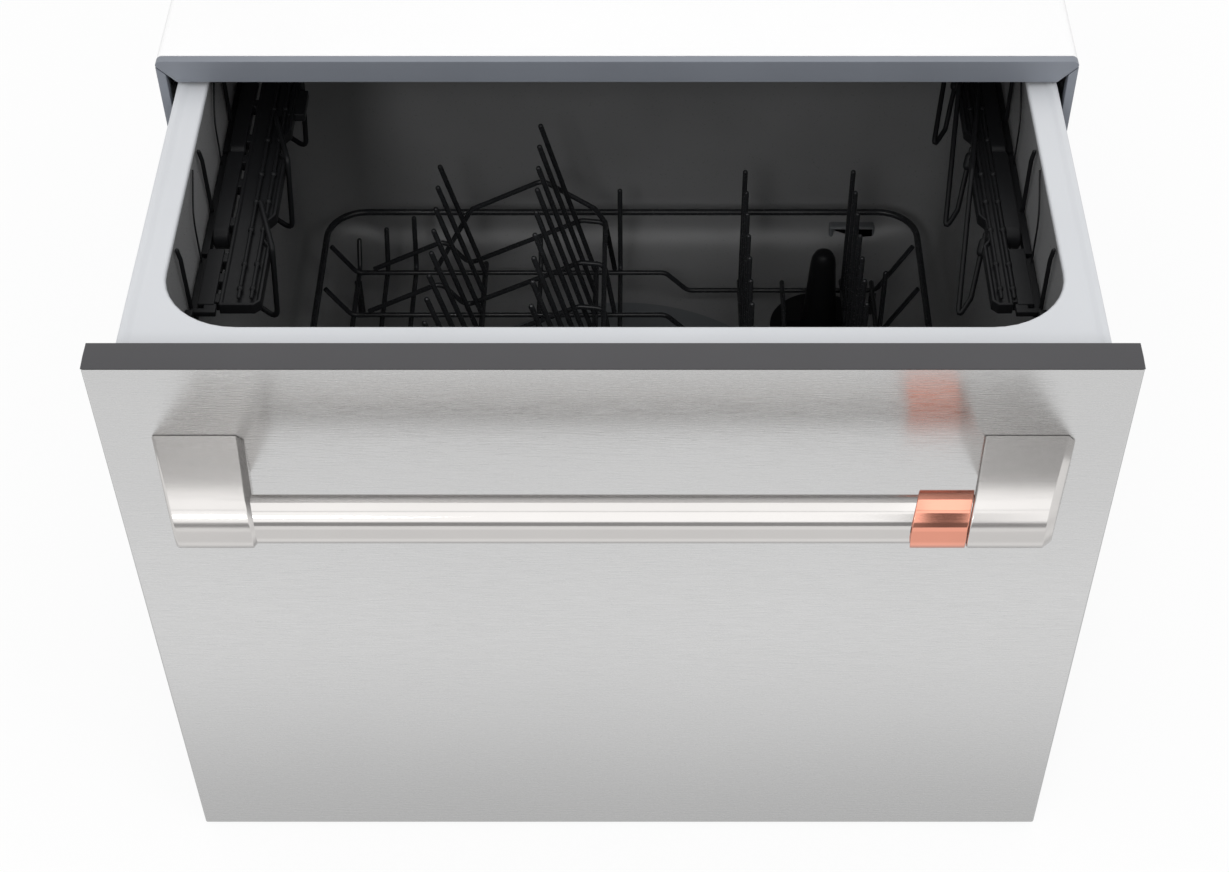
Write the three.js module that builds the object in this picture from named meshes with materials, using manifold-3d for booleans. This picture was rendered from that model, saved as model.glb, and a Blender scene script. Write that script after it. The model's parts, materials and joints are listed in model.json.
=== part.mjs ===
// Dishwasher drawer: one pull-out tub on telescopic runners in a cabinet for a 600 mm wide opening.
// Millimetres, +Z up, the front faces -Y. The drawer stands about half open.

import * as THREE from "three";
import { mergeVertices } from "three/addons/utils/BufferGeometryUtils.js";
import Module from "manifold-3d";

const wasm = await Module();
wasm.setup();

// ---- Driving dimensions ----

const gap = 0.3; // between pieces that sit against each other
const past = 1; // how far a cutting shape runs beyond the face it opens
const weld = 0.5; // how far joined shapes of one piece run into each other

// Cabinet
const cabinetWidth = 599;
const cabinetDepth = 553;
const cabinetHeight = 459; // over screwed-in feet, level with the top of the door
const footHeight = 8;
const footRadius = 17;
const footStemRadius = 5;
const footStemLength = 12; // above the underside of the base
const footChamfer = 2;
const footInset = 45;
const sheet = 1.5;
const sheetFlange = 12;
const coverDrop = 6; // sides of the cabinet's top cover
const baseLip = 20;
const serviceZ = 44; // middle of the ports through the back
const serviceInset = 74.5; // from the cabinet's sides to the outer ports
const valveHalfWidth = 20;
const valvePort = 13; // radius
const elbowHalfWidth = 17;
const elbowPort = 11;
const mainsHalfWidth = 50;
const mainsPort = 9;
const serviceDepth = 40;
const serviceHeight = 52;
const moduleWidth = 140;
const moduleDepth = 100;
const moduleHeight = 22;
const moduleEdge = 10; // round the module's sunk cover
const moduleLeft = 60; // from the middle of the cabinet
const moduleFront = 60;

// Trim round the front of the cabinet
const bezelDepth = 6.5;
const bezelFace = 16.3;
const bezelSide = 6;
const bezelCorner = 4;

// Door
const doorSideGap = 2; // door inside the width of the trim, each side
const doorThickness = 20;
const doorFloorGap = 4;
const doorSkin = 1;
const doorReturn = 18;
const doorFrameWall = 2.5;
const doorRibZ = [130, 250];
const postBacking = 7; // solid frame round the foot of each handle post
const capDepth = 7;
const capLip = 1.7;
const capChamfer = 9;
const capNose = 0.4; // upright edge at the front of the cap
const closedGap = 1.5; // from the back of the shut door to the trim

// Drawer travel
const openAtRest = 261.5;
const travel = 510;
const runnerOverlap = 250; // between neighbouring runners when fully out

// Handle
const barRadius = 14;
const noseRadius = 16.6;
const barStandOff = 47.6; // bar axis in front of the door
const barDrop = 73.3; // bar axis below the top of the door
const postTopRise = 2.8; // of the post's top face, from its nose to the door
const postInset = 30.5; // from the door's side to the post's foot
const postWidth = 53; // at the foot
const postOuterTaper = 15; // from the foot to the bar
const postInnerTaper = 11;
const postWall = 5;
const socketDepth = 6;
const ringLength = 31.5;

// Tub and its rim
const tubOpeningFront = 55.6; // behind the front of the door
const tubOpeningLength = 470;
const tubCorner = 48;
const tubWall = 3;
const tubDraft = 8; // how far the walls lean in over the tub's height
const tubFloorZ = 104;
const tubFlange = 14;
const rimSideGap = 12; // rim inside the width of the trim, each side
const rimLedge = 19.5; // between the rim's side and the opening
const rimBack = 19; // rim behind the opening
const rimStepDown = 20; // below the top of the door
const rimThickness = 3;
const rimSkirt = 12;
const rimSkirtWall = 2.5;
const rimCorner = 12;
const beadWidth = 4; // raised bead along the rim
const beadRise = 1.6;
const beadSlope = 4; // from the bead in to the flat of the rim

// Telescopic runners
const runnerZ = 118;
const runnerHalfHeight = 22;
const runnerSetback = 12; // behind the front of the trim
const runnerReach = 13.7; // width of the fixed runner's flanges
const runnerMiddleInset = 7; // middle runner's web from the fixed runner's back
const runnerMiddleReach = 10.7;
const runnerInnerReach = 10.5;
const runnerSheet = 1.5;
const bracketHeight = 38;

// Lid that seals the closed tub
const lidInset = 3.5; // lid inside the width of the rim, each side
const lidFrontY = 12;
const lidLength = 509;
const lidThickness = 7;
const lidPlate = 3;
const lidLift = 5.5; // travel down to the rim
const lidHeadroom = 1.5; // under the cabinet's top
const sealThickness = 3.7;
const sealWidth = 9;
const sealInset = 6;
const lidTabLength = 20;
const lidTabReach = 7;
const lidTabInset = 80; // middle of each tab from the lid's ends
const lidTabSet = 1; // tabs are set in from the lid's faces
const lidRib = 6; // between the seal and the hollow under the lid
const lidHollowCorner = 38;
const guideInset = 40; // guides end this far inside the lid's ends
const guideFloat = 3; // over the rim
const lidMotorLength = 80;
const lidMotorDrop = 45; // motor below the guide

// Wash pump, spray arm and filters
const pumpY = 290; // behind the front of the door
const sumpRadius = 95;
const sumpDepth = 38;
const sumpWall = 4;
const tubHoleRadius = 80;
const motorRadius = 62;
const motorHeight = 26;
const motorChamfer = 6;
const shaftRadius = 4;
const impellerRadius = 55;
const impellerHeight = 12;
const impellerFloat = 3; // over the sump's floor
const impellerDisc = 3;
const impellerHub = 10;
const vanes = 6;
const vaneThickness = 3;
const filterPlateRadius = 150;
const filterPlateThickness = 2;
const hubRadius = 12;
const hubLip = 3; // holds the spray arm down
const hubLipHeight = 1.7;
const waterWayRadius = 5;
const sprayRadius = 172;
const sprayWidth = 42;
const sprayThickness = 8;
const sprayBoss = 28; // radius
const sprayFloat = 2; // over the filter plate
const spraySlots = 4;
const spraySlotStart = 42;
const spraySlotPitch = 32;
const spraySlotLength = 16;
const spraySlotWidth = 4;
const spraySlotDepth = 3;
const heaterInnerRadius = 102;
const heaterOuterRadius = 140;
const heaterThickness = 3;
const drainPumpRadius = 28;
const drainPumpHeight = 45;
const drainPumpRise = 31; // over the sump's floor
const spigotRadius = 9;
const spigotDrop = 18;
const spigotReach = 60;
const drainFilterInset = 19.5; // left of the outer right row of tines
const drainFilterY = 413;
const drainFilterRadius = 32;
const drainFilterDepth = 24;
const drainGripBase = 15;
const drainGripTop = 10;
const drainGripHeight = 80; // above the tub's floor
const drainWellWall = 4;
const drainFlange = 7;
const drainFlangeThickness = 2;
const drainWing = 26; // half length
const drainWingThickness = 5;
const drainWingHeight = 7;
const hoodShift = 12.5; // right of the outer right row of tines
const hoodWidth = 38;
const hoodDepth = 12;
const hoodHeight = 18;
const hoodWall = 4;
const hoodFloat = 8; // over the tub's floor

// Rack: coated wires
const wire = 2; // radius
const loopWire = 2.6;
const rackZ = 140; // upper grid wires
const rackDip = 19; // how far the right side of the grid lies lower
const rackLoopZ = 168;
const rackLoopInset = 31; // inside the tub's opening, each side
const rackLoopBack = 480;
const rackLoopFront = 92;
const rackLoopCorner = 30;
const gridStations = 7;
const gridPitch = 50;
const gridBack = 438;
const gridLegInset = 24; // feet on the left, inside the loop
const gridRise = 18; // across, from the loop down to the grid
const gridStep = 60.5; // the grid starts to step down left of the inner right row
const gridStepRun = 18;
const lowInset = 30.5; // the low side rises to the loop this far inside it
const leftWirePitch = 23; // three long wires from the left feet inwards
const leftWires = 3;
const bowlWireX = -66;
const middleWireX = -1.5;
const lowWireLeft = 48.5; // left of the outer right row of tines
const lowWireRight = 24.5;
const longFront = 12; // in front of the first cross wire
const longBack = 8; // behind the last one, before the wire turns up
const upturn = 16; // the turned up ends lean back this far
const turnedUp = 22;
const leftTurnedUp = 19; // of the leftmost long wire
const leftTurnedUpStep = 11.5; // each long wire towards the middle ends this much higher
const middleTurnedUp = 70;
const footWire = 3;
const singleTineY = 372;
const singleTineHeight = 76;
const rowWire = 2.3; // radius of the bars that carry the tines
const tinePitch = 25;
const tineOffset = 5; // in front of the grid's wires
const tineSpan = 13; // tines in a row
const rightRowInset = 58.5; // outer right row inside the loop
const rightRowPitch = 83;
const leftRowX = -21; // inner left row
const leftRowPitch = 89;
const rightTipZ = 249;
const leftInnerTipZ = 293;
const leftOuterTipZ = 254;
const leftLean = THREE.MathUtils.degToRad(15);
const supportWires = 4;
const supportFootX = -6; // where the supports come down to the grid
const tieX = -13; // wire that joins the supports
const tieRise = 49;
const rampInset = 37; // foot of the ramps inside the loop
const rampBendX = -141;
const rampBendRise = 30;
const rampDipX = -123;
const rampDipRise = 6;
const rampTopX = -32;
const rampTopRise = 51;
const peakFootX = -150;
const peakShoulderX = -118;
const peakShoulderRise = 62;
const peakX = -61;
const peakRise = 91;
const peakEndX = -21;
const peakEndRise = 63;

// Cup shelves on the side walls
const shelfDrop = 49; // below the rim
const shelfWidth = 26;
const shelfThickness = 8;
const shelfBack = 432;
const shelfFront = 102;
const shelfPin = 1.6; // radius
const railThickness = 5;
const railHeight = 12;
const railDrop = 4.5; // of the rail's body below the pins
const eyeInset = 10;
const eyeLength = 6;
const hangerPlaces = [127, 222, 317]; // straps that hold the rail to the rim's edge
const hangerWidth = 5;
const hangerThickness = 1.2;
const hangerDrop = 5; // from the rim's top
const prongPitch = 88;
const prongs = 3;
const prongWire = 1.8;
const prongStart = 93; // from the shelf's back end to the first prong's tip
const prongReach = 14; // beyond the shelf's inner edge
const prongDrop = 45;
const prongRun = 64; // from the rear root forward to the tip
const prongBendRun = 6; // from the rear root to the bend under the plate
const prongBendDrop = 5;
const prongHookRun = 12; // the tip hooks back and rises again to the plate
const prongHookDrop = 38;
const prongRiseRun = 28;
const prongRiseDrop = 20;
const prongReturnRun = 40;
const prongRoot = 5; // inside the shelf's edge
const shelfEnd = 24; // from the rail's ends to the shelf's plate
const shelfNotch = 5; // the plate's edge steps out this far at each prong
const notchHalf = 0.27; // of the prongs' pitch
const notchFlat = 0.19; // of the pitch, from the prong to where the edge slopes back
const armThickness = 4;
const armReach = 12; // over the plate, from its outer edge
const armStep = 3; // from the plate's end to an arm

// Detergent dispenser on the tub's front wall
const dispenserDrop = 41; // from the rim to the dispenser's top
const dispenserHeight = 76;
const dispenserLeft = -70;
const dispenserWidth = 130;
const dispenserDepth = 15.5;
const dispenserDoorWidth = 72;
const dispenserDoorInset = 8;
const dispenserDoorThickness = 2.6;
const dispenserEdge = 9; // above and below the lid
const cupRim = 5.5; // round the detergent cup, under its lid
const cupFloor = 3;
const liftWidth = 20;
const liftDepth = 3;
const liftHeight = 4;
const rinseCapInset = 26; // from the dispenser's right end
const rinseCapRadius = 14;
const rinseCapDepth = 5;
const rinseNeckRadius = 8;
const rinseGripHeight = 4;

// ---- Places worked out from the driving dimensions ----

const halfCabinet = cabinetWidth / 2;
const halfDoor = halfCabinet - doorSideGap;
const baseZ = footHeight;
const doorTop = cabinetHeight;
const capFrontZ = doorTop - capLip; // top edge of the steel skin
const innerSideX = halfCabinet - sheet; // inner face of the cabinet's sides
const barZ = doorTop - barDrop;
const postOuterRoot = halfDoor - postInset;
const postOuterNose = postOuterRoot - postOuterTaper;
const postInnerRoot = postOuterRoot - postWidth;
const postInnerNose = postInnerRoot - postInnerTaper;
const halfRim = halfCabinet - rimSideGap;
const halfOpening = halfRim - rimLedge;
const tubOpeningBack = tubOpeningFront + tubOpeningLength;
const rimTop = doorTop - rimStepDown;
const tubTop = rimTop - rimThickness - gap;
const tubUnder = tubFloorZ - tubWall;
const rackLoopX = halfOpening - rackLoopInset;
const rightOuterX = rackLoopX - rightRowInset;
const rightInnerX = rightOuterX - rightRowPitch;
const drainFilterX = rightOuterX - drainFilterInset;
const shelfZ = rimTop - shelfDrop;
const dispenserZ = rimTop - dispenserDrop - dispenserHeight;
const doorAtRest = -(doorThickness + closedGap + openAtRest); // front of the door
const frontMost = doorAtRest - barStandOff - noseRadius;
const middleY = (frontMost + cabinetDepth) / 2; // of the whole part, front to back

// ---- Shapes ----

function solidOf(geometry) {
  const bare = geometry.clone();
  bare.deleteAttribute("normal");
  bare.deleteAttribute("uv");
  const merged = mergeVertices(bare, 1e-4);
  return new wasm.Manifold(
    new wasm.Mesh({
      numProp: 3,
      vertProperties: merged.attributes.position.array,
      triVerts: new Uint32Array(merged.index.array),
    }),
  );
}

function geometryOf(solid) {
  const { vertProperties, triVerts } = solid.getMesh();
  const geometry = new THREE.BufferGeometry();
  geometry.setAttribute("position", new THREE.BufferAttribute(vertProperties, 3));
  geometry.setIndex(new THREE.BufferAttribute(triVerts, 1));
  geometry.computeVertexNormals();
  return geometry;
}

function join(geometries) {
  return geometryOf(geometries.map(solidOf).reduce((whole, next) => whole.add(next)));
}

function cut(geometry, tools) {
  return geometryOf(tools.map(solidOf).reduce((left, tool) => left.subtract(tool), solidOf(geometry)));
}

function common(a, b) {
  return geometryOf(solidOf(a).intersect(solidOf(b)));
}

function box(x0, x1, y0, y1, z0, z1) {
  const block = new THREE.BoxGeometry(Math.abs(x1 - x0), y1 - y0, z1 - z0);
  return block.translate((x0 + x1) / 2, (y0 + y1) / 2, (z0 + z1) / 2);
}

function shapeOf(outline) {
  if (outline instanceof THREE.Shape) return outline;
  return new THREE.Shape(outline.map(([a, b]) => new THREE.Vector2(a, b)));
}

function prism(outline, length, curveSegments) {
  return new THREE.ExtrudeGeometry(shapeOf(outline), { depth: length, bevelEnabled: false, curveSegments });
}

// An outline of [y, z] points drawn out along X.
function alongX(outline, x0, x1, curveSegments = 6) {
  const turn = new THREE.Matrix4().set(0, 0, 1, x0, 1, 0, 0, 0, 0, 1, 0, 0, 0, 0, 0, 1);
  return prism(outline, x1 - x0, curveSegments).applyMatrix4(turn);
}

// An outline of [x, z] points drawn out along Y.
function alongY(outline, y0, y1, curveSegments = 6) {
  const turn = new THREE.Matrix4().set(1, 0, 0, 0, 0, 0, -1, y1, 0, 1, 0, 0, 0, 0, 0, 1);
  return prism(outline, y1 - y0, curveSegments).applyMatrix4(turn);
}

// An outline of [x, y] points drawn out along Z.
function alongZ(outline, z0, z1, curveSegments = 6) {
  return prism(outline, z1 - z0, curveSegments).translate(0, 0, z0);
}

// A profile of [radius, z] points spun about the vertical through x, y.
function spun(profile, x, y, sides) {
  const points = profile.map(([radius, z]) => new THREE.Vector2(radius, z));
  return new THREE.LatheGeometry(points, sides).rotateX(Math.PI / 2).translate(x, y, 0);
}

function post(radius, x, y, z0, z1, sides = 16) {
  return spun([[0, z0], [radius, z0], [radius, z1], [0, z1]], x, y, sides);
}

// A round rod between two points.
function rod(from, to, radius, sides = 6) {
  const a = new THREE.Vector3(...from);
  const along = new THREE.Vector3(...to).sub(a);
  const up = new THREE.Vector3(0, 1, 0);
  const turn = new THREE.Quaternion().setFromUnitVectors(up, along.clone().normalize());
  return new THREE.CylinderGeometry(radius, radius, along.length(), sides)
    .applyQuaternion(turn)
    .translate(...a.addScaledVector(along, 0.5).toArray());
}

// A path through given points, with one ring of a swept section at each.
class Route extends THREE.Curve {
  constructor(points) {
    super();
    this.points = points;
  }

  getPoint(t, target = new THREE.Vector3()) {
    const place = t * (this.points.length - 1);
    const index = Math.min(Math.floor(place), this.points.length - 2);
    return target.lerpVectors(this.points[index], this.points[index + 1], place - index);
  }

  getUtoTmapping(u) {
    return u;
  }
}

// A bent wire through [x, y, z] points.
function bentWire(points, radius, sides = 6) {
  const route = new Route(points.map((point) => new THREE.Vector3(...point)));
  const section = new THREE.Shape(
    Array.from({ length: sides }, (_, i) => {
      const angle = (2 * Math.PI * i) / sides;
      return new THREE.Vector2(radius * Math.cos(angle), radius * Math.sin(angle));
    }),
  );
  return new THREE.ExtrudeGeometry(section, { steps: points.length - 1, extrudePath: route });
}

// The [x, y] points of a rectangle with round corners, anticlockwise.
function roundedOutline(x0, x1, y0, y1, radius, steps) {
  const corners = [
    [x1 - radius, y0 + radius, -0.5],
    [x1 - radius, y1 - radius, 0],
    [x0 + radius, y1 - radius, 0.5],
    [x0 + radius, y0 + radius, 1],
  ];
  return corners.flatMap(([x, y, start]) =>
    Array.from({ length: steps + 1 }, (_, i) => {
      const angle = Math.PI * (start + (0.5 * i) / steps);
      return [x + radius * Math.cos(angle), y + radius * Math.sin(angle)];
    }),
  );
}

// A solid between two like outlines at two heights; both outlines are convex.
function loft(lower, z0, upper, z1) {
  const count = lower.length;
  const positions = [...lower.map(([x, y]) => [x, y, z0]), ...upper.map(([x, y]) => [x, y, z1])].flat();
  const index = [];
  for (let i = 0; i < count; i++) {
    const next = (i + 1) % count;
    index.push(i, next, count + next, i, count + next, count + i);
  }
  for (let i = 1; i < count - 1; i++) {
    index.push(0, i + 1, i, count, count + i, count + i + 1);
  }
  const geometry = new THREE.BufferGeometry();
  geometry.setAttribute("position", new THREE.Float32BufferAttribute(positions, 3));
  geometry.setIndex(index);
  geometry.computeVertexNormals();
  return geometry;
}

// A flat ring between two outlines of [x, y] points.
function ring(outer, inner, z0, z1) {
  const shape = shapeOf(outer);
  shape.holes.push(new THREE.Path(inner.map(([x, y]) => new THREE.Vector2(x, y))));
  return alongZ(shape, z0, z1);
}

// ---- Finishes ----

const finishes = {
  steel: { color: 0xc9c9c8, roughness: 0.32, metalness: 1 },
  handleSteel: { color: 0xd2cdc8, roughness: 0.25, metalness: 1 },
  copper: { color: 0xd98e72, roughness: 0.22, metalness: 1 },
  capGrey: { color: 0x55545a, roughness: 0.4, metalness: 0.3 },
  bezelGrey: { color: 0x5c6067, roughness: 0.45, metalness: 0.2 },
  rimGrey: { color: 0xd2d6d9, roughness: 0.4, metalness: 0 },
  tubGrey: { color: 0x3a3b3d, roughness: 0.45, metalness: 0 },
  coatedWire: { color: 0x222326, roughness: 0.35, metalness: 0 },
  darkPlastic: { color: 0x1d1e20, roughness: 0.5, metalness: 0 },
  midPlastic: { color: 0x6c7074, roughness: 0.5, metalness: 0 },
  white: { color: 0xf3f4f4, roughness: 0.5, metalness: 0 },
  zinc: { color: 0xb4b7b9, roughness: 0.4, metalness: 0.9 },
  rubber: { color: 0x2a2b2c, roughness: 0.8, metalness: 0 },
};

function part(name, finish, geometry) {
  const mesh = new THREE.Mesh(geometry, new THREE.MeshStandardMaterial(finishes[finish]));
  mesh.name = name;
  return mesh;
}

const sides = [
  { word: "left", sign: -1 },
  { word: "right", sign: 1 },
];

// An outline mirrored to one side of the part.
function onSide(outline, sign) {
  return outline.map(([x, other]) => [sign * x, other]);
}

// ---- Cabinet: fixed pieces, Y from the front of the trim ----

const feetPlaces = [
  { word: "front_left", x: -halfCabinet + footInset, y: footInset },
  { word: "front_right", x: halfCabinet - footInset, y: footInset },
  { word: "back_left", x: -halfCabinet + footInset, y: cabinetDepth - footInset },
  { word: "back_right", x: halfCabinet - footInset, y: cabinetDepth - footInset },
];
const shellFront = bezelDepth + gap;
const shellBack = cabinetDepth - sheet - gap; // sides and base end in front of the back
const plateTop = baseZ + sheet;
const coverZ = cabinetHeight - coverDrop;
const sideTop = coverZ - gap;
const coverLipX = innerSideX - gap;
const bezelInnerX = halfCabinet - bezelSide;
const bezelUnder = cabinetHeight - bezelFace;
const mitreZ = cabinetHeight - bezelCorner; // the trim's mitres start here, on its outer edge

// What comes out through the back: a water port, a drain spigot and the mains gland.
const serviceX = halfCabinet - serviceInset;
const services = [
  { name: "water_inlet_valve", finish: "white", x: -serviceX, halfWidth: valveHalfWidth, port: valvePort },
  { name: "drain_elbow", finish: "darkPlastic", x: serviceX, halfWidth: elbowHalfWidth, port: elbowPort },
  { name: "mains_box", finish: "darkPlastic", x: 0, halfWidth: mainsHalfWidth, port: mainsPort },
];

function cabinetBase() {
  const x = innerSideX - gap;
  const tray = cut(box(-x, x, shellFront, shellBack, baseZ, baseZ + baseLip), [
    box(-x + sheet, x - sheet, shellFront + sheet, shellBack - sheet, plateTop, baseZ + 2 * baseLip),
  ]);
  const holes = feetPlaces.map((foot) =>
    post(footStemRadius + gap, foot.x, foot.y, 0, baseZ + baseLip, 10),
  );
  return cut(tray, holes);
}

function foot({ x, y }) {
  const top = baseZ + footStemLength;
  const profile = [
    [0, 0],
    [footRadius - footChamfer, 0],
    [footRadius, footChamfer],
    [footRadius, baseZ - gap],
    [footStemRadius, baseZ - gap],
    [footStemRadius, top],
    [0, top],
  ];
  return spun(profile, x, y, 12);
}

function cabinetSide(sign) {
  const inner = innerSideX;
  const lip = halfCabinet - sheetFlange;
  const frontLip = bezelInnerX + past;
  const outline = [
    [frontLip, shellFront],
    [halfCabinet, shellFront],
    [halfCabinet, shellBack],
    [lip, shellBack],
    [lip, shellBack - sheet],
    [inner, shellBack - sheet],
    [inner, shellFront + sheet],
    [frontLip, shellFront + sheet],
  ];
  // the base and its lip pass under the flanges
  const top = baseZ + baseLip + gap;
  return cut(alongZ(onSide(outline, sign), baseZ, sideTop), [
    box(sign * (lip - past), sign * inner, shellBack - sheet - past, shellBack + past, 0, top),
    box(sign * (frontLip - past), sign * inner, shellFront - past, shellFront + sheet + past, 0, top),
  ]);
}

// The back's upper corners step in under the sides of the cover.
function cabinetBack() {
  const top = cabinetHeight - sheet - gap;
  const stepX = coverLipX - sheet - gap;
  const outline = [
    [-halfCabinet, baseZ],
    [halfCabinet, baseZ],
    [halfCabinet, sideTop],
    [stepX, sideTop],
    [stepX, top],
    [-stepX, top],
    [-stepX, sideTop],
    [-halfCabinet, sideTop],
  ];
  const plate = alongY(outline, cabinetDepth - sheet, cabinetDepth);
  const holes = services.map(({ x, port }) =>
    rod([x, cabinetDepth - sheet - past, serviceZ], [x, cabinetDepth + past, serviceZ], port + gap, 16),
  );
  return cut(plate, holes);
}

// A rectangle in x and z whose two upper corners are round, as the trim and the cover have them.
function roundTopped(z) {
  const shape = new THREE.Shape();
  const cornerX = halfCabinet - bezelCorner;
  shape.moveTo(-halfCabinet, z);
  shape.lineTo(halfCabinet, z);
  shape.lineTo(halfCabinet, mitreZ);
  shape.absarc(cornerX, mitreZ, bezelCorner, 0, Math.PI / 2, false);
  shape.lineTo(-cornerX, cabinetHeight);
  shape.absarc(-cornerX, mitreZ, bezelCorner, Math.PI / 2, Math.PI, false);
  return shape;
}

// The cover stands on the cabinet's sides and has lips that reach down inside them.
function cabinetTop() {
  const lipZ = cabinetHeight - sheet - sheetFlange;
  const cover = alongY(roundTopped(coverZ), shellFront, cabinetDepth, 3);
  const inner = coverLipX - sheet;
  // the lips stop short of the sides' flanges
  const [front, back] = [shellFront + sheet + gap, shellBack - sheet - gap];
  const lips = [-1, 1].map((sign) =>
    box(sign * (inner - past), sign * coverLipX, front, back, lipZ, coverZ + weld),
  );
  const hollow = box(
    -inner,
    inner,
    shellFront - past,
    cabinetDepth + past,
    lipZ - past,
    cabinetHeight - sheet,
  );
  return cut(join([cover, ...lips]), [hollow]);
}

// Mitred at 45 degrees down from the outer edge; the side members are narrower than the mitre.
function bezelTop() {
  const mitre = mitreZ - bezelUnder;
  const cutCorner = (sign) => [
    [sign * (halfCabinet + past), mitreZ + past],
    [sign * (halfCabinet - mitre - past), bezelUnder - past],
    [sign * (halfCabinet + past), bezelUnder - past],
  ];
  const cutters = [1, -1].map((sign) => alongY(cutCorner(sign), -past, bezelDepth + past));
  return cut(alongY(roundTopped(bezelUnder), 0, bezelDepth, 3), cutters);
}

function bezelSideMember(sign) {
  const outline = [
    [bezelInnerX, baseZ],
    [halfCabinet, baseZ],
    [halfCabinet, mitreZ - 2 * gap],
    [bezelInnerX, mitreZ - bezelSide - 2 * gap],
  ];
  return alongY(onSide(outline, sign), 0, bezelDepth);
}

// Water valve, drain elbow and mains box stand on the base and end in the back's holes.
function service({ x, halfWidth, port }) {
  const back = shellBack - sheet - past;
  const bottom = plateTop + gap;
  const body = box(x - halfWidth, x + halfWidth, back - serviceDepth, back, bottom, bottom + serviceHeight);
  return join([body, rod([x, back - weld, serviceZ], [x, cabinetDepth - gap, serviceZ], port, 16)]);
}

function controlModule() {
  const right = -moduleLeft;
  const left = right - moduleWidth;
  const back = moduleFront + moduleDepth;
  const top = plateTop + gap + moduleHeight;
  const edge = moduleEdge;
  const body = box(left, right, moduleFront, back, plateTop + gap, top);
  const cover = box(left + edge, right - edge, moduleFront + edge, back - edge, top - sheet, top + past);
  return cut(body, [cover]);
}

const runnerFront = runnerSetback;
const runnerBack = runnerSetback + travel / 2 + runnerOverlap;
const fixedWebX = innerSideX - gap;

// A channel section: its web's outer face at x, flanges reaching towards or away from the middle.
function channel(x, reach, halfHeight, thickness, towards) {
  const tip = x - towards * reach;
  const web = x - towards * thickness;
  const [top, bottom] = [runnerZ + halfHeight, runnerZ - halfHeight];
  return [
    [x, bottom],
    [x, top],
    [tip, top],
    [tip, top - thickness],
    [web, top - thickness],
    [web, bottom + thickness],
    [tip, bottom + thickness],
    [tip, bottom],
  ];
}

function fixedRunner(sign) {
  const outline = channel(fixedWebX, runnerReach, runnerHalfHeight, runnerSheet, 1);
  return alongY(onSide(outline, sign), runnerFront, runnerBack);
}

const middleWebX = fixedWebX - runnerMiddleInset;
const middleHalfHeight = runnerHalfHeight - runnerSheet - gap;
const slideHalfHeight = middleHalfHeight - runnerSheet - gap;

function middleRunner(sign) {
  const outline = channel(middleWebX, runnerMiddleReach, middleHalfHeight, runnerSheet, 1);
  return alongY(onSide(outline, sign), runnerFront, runnerBack);
}

// ---- Lid ----

const lidTop = cabinetHeight - sheet - lidHeadroom;
const lidUnder = lidTop - lidThickness;
const lidBackY = lidFrontY + lidLength;
const tabPlaces = [lidFrontY + lidTabInset, lidBackY - lidTabInset];
const tabZ = lidUnder + lidTabSet;
const tabThickness = lidThickness - 2 * lidTabSet;
const guideX = halfRim + 3 * gap; // inner face of the lid's guides, clear of the rim
const halfLid = halfRim - lidInset;

function tubLid() {
  const half = halfLid;
  const plate = alongZ(roundedOutline(-half, half, lidFrontY, lidBackY, rimCorner, 3), lidUnder, lidTop);
  const inset = sealWidth + lidRib;
  const hollow = alongZ(
    roundedOutline(-half + inset, half - inset, lidFrontY + inset, lidBackY - inset, lidHollowCorner, 4),
    lidUnder - past,
    lidTop - lidPlate,
  );
  const tabs = tabPlaces.map((y) =>
    box(
      -half - lidTabReach,
      half + lidTabReach,
      y - lidTabLength / 2,
      y + lidTabLength / 2,
      tabZ,
      tabZ + tabThickness,
    ),
  );
  return cut(join([plate, ...tabs]), [hollow]);
}

function lidSeal() {
  const half = halfLid - sealInset;
  const front = lidFrontY + sealInset;
  const back = lidBackY - sealInset;
  const outer = roundedOutline(-half, half, front, back, rimCorner, 3);
  const inner = roundedOutline(
    -half + sealWidth,
    half - sealWidth,
    front + sealWidth,
    back - sealWidth,
    rimCorner,
    3,
  );
  return ring(outer, inner, lidUnder - gap - sealThickness, lidUnder - gap);
}

// A guide along the cabinet's side, with a slot for each of the lid's tabs and its motor below.
function lidActuator(sign) {
  const slotX = halfLid + lidTabReach + gap;
  const [front, back] = [lidFrontY + guideInset, lidBackY - guideInset];
  const bottom = rimTop + guideFloat;
  const rail = box(sign * guideX, sign * fixedWebX, front, back, bottom, lidTop + lidTabSet);
  const middle = (front + back) / 2;
  const motor = box(
    sign * guideX,
    sign * fixedWebX,
    middle - lidMotorLength / 2,
    middle + lidMotorLength / 2,
    bottom - lidMotorDrop,
    bottom + weld,
  );
  const slots = tabPlaces.map((y) =>
    box(
      sign * (guideX - past),
      sign * slotX,
      y - lidTabLength / 2 - gap,
      y + lidTabLength / 2 + gap,
      tabZ - lidLift - gap,
      tabZ + tabThickness + gap,
    ),
  );
  const lipClear = box(
    sign * (fixedWebX - sheet - gap),
    sign * (fixedWebX + past),
    lidFrontY,
    lidBackY,
    cabinetHeight - sheet - sheetFlange - gap,
    cabinetHeight,
  );
  return cut(join([rail, motor]), [...slots, lipClear]);
}

// ---- Door, Y from its front face ----

function frontPanel() {
  const pan = box(-halfDoor, halfDoor, 0, doorReturn, doorFloorGap, capFrontZ);
  const inside = box(
    -halfDoor + doorSkin,
    halfDoor - doorSkin,
    doorSkin,
    doorReturn + past,
    doorFloorGap + doorSkin,
    capFrontZ + past,
  );
  return cut(pan, [inside]);
}

const frameTop = doorTop - capDepth - gap;

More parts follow.
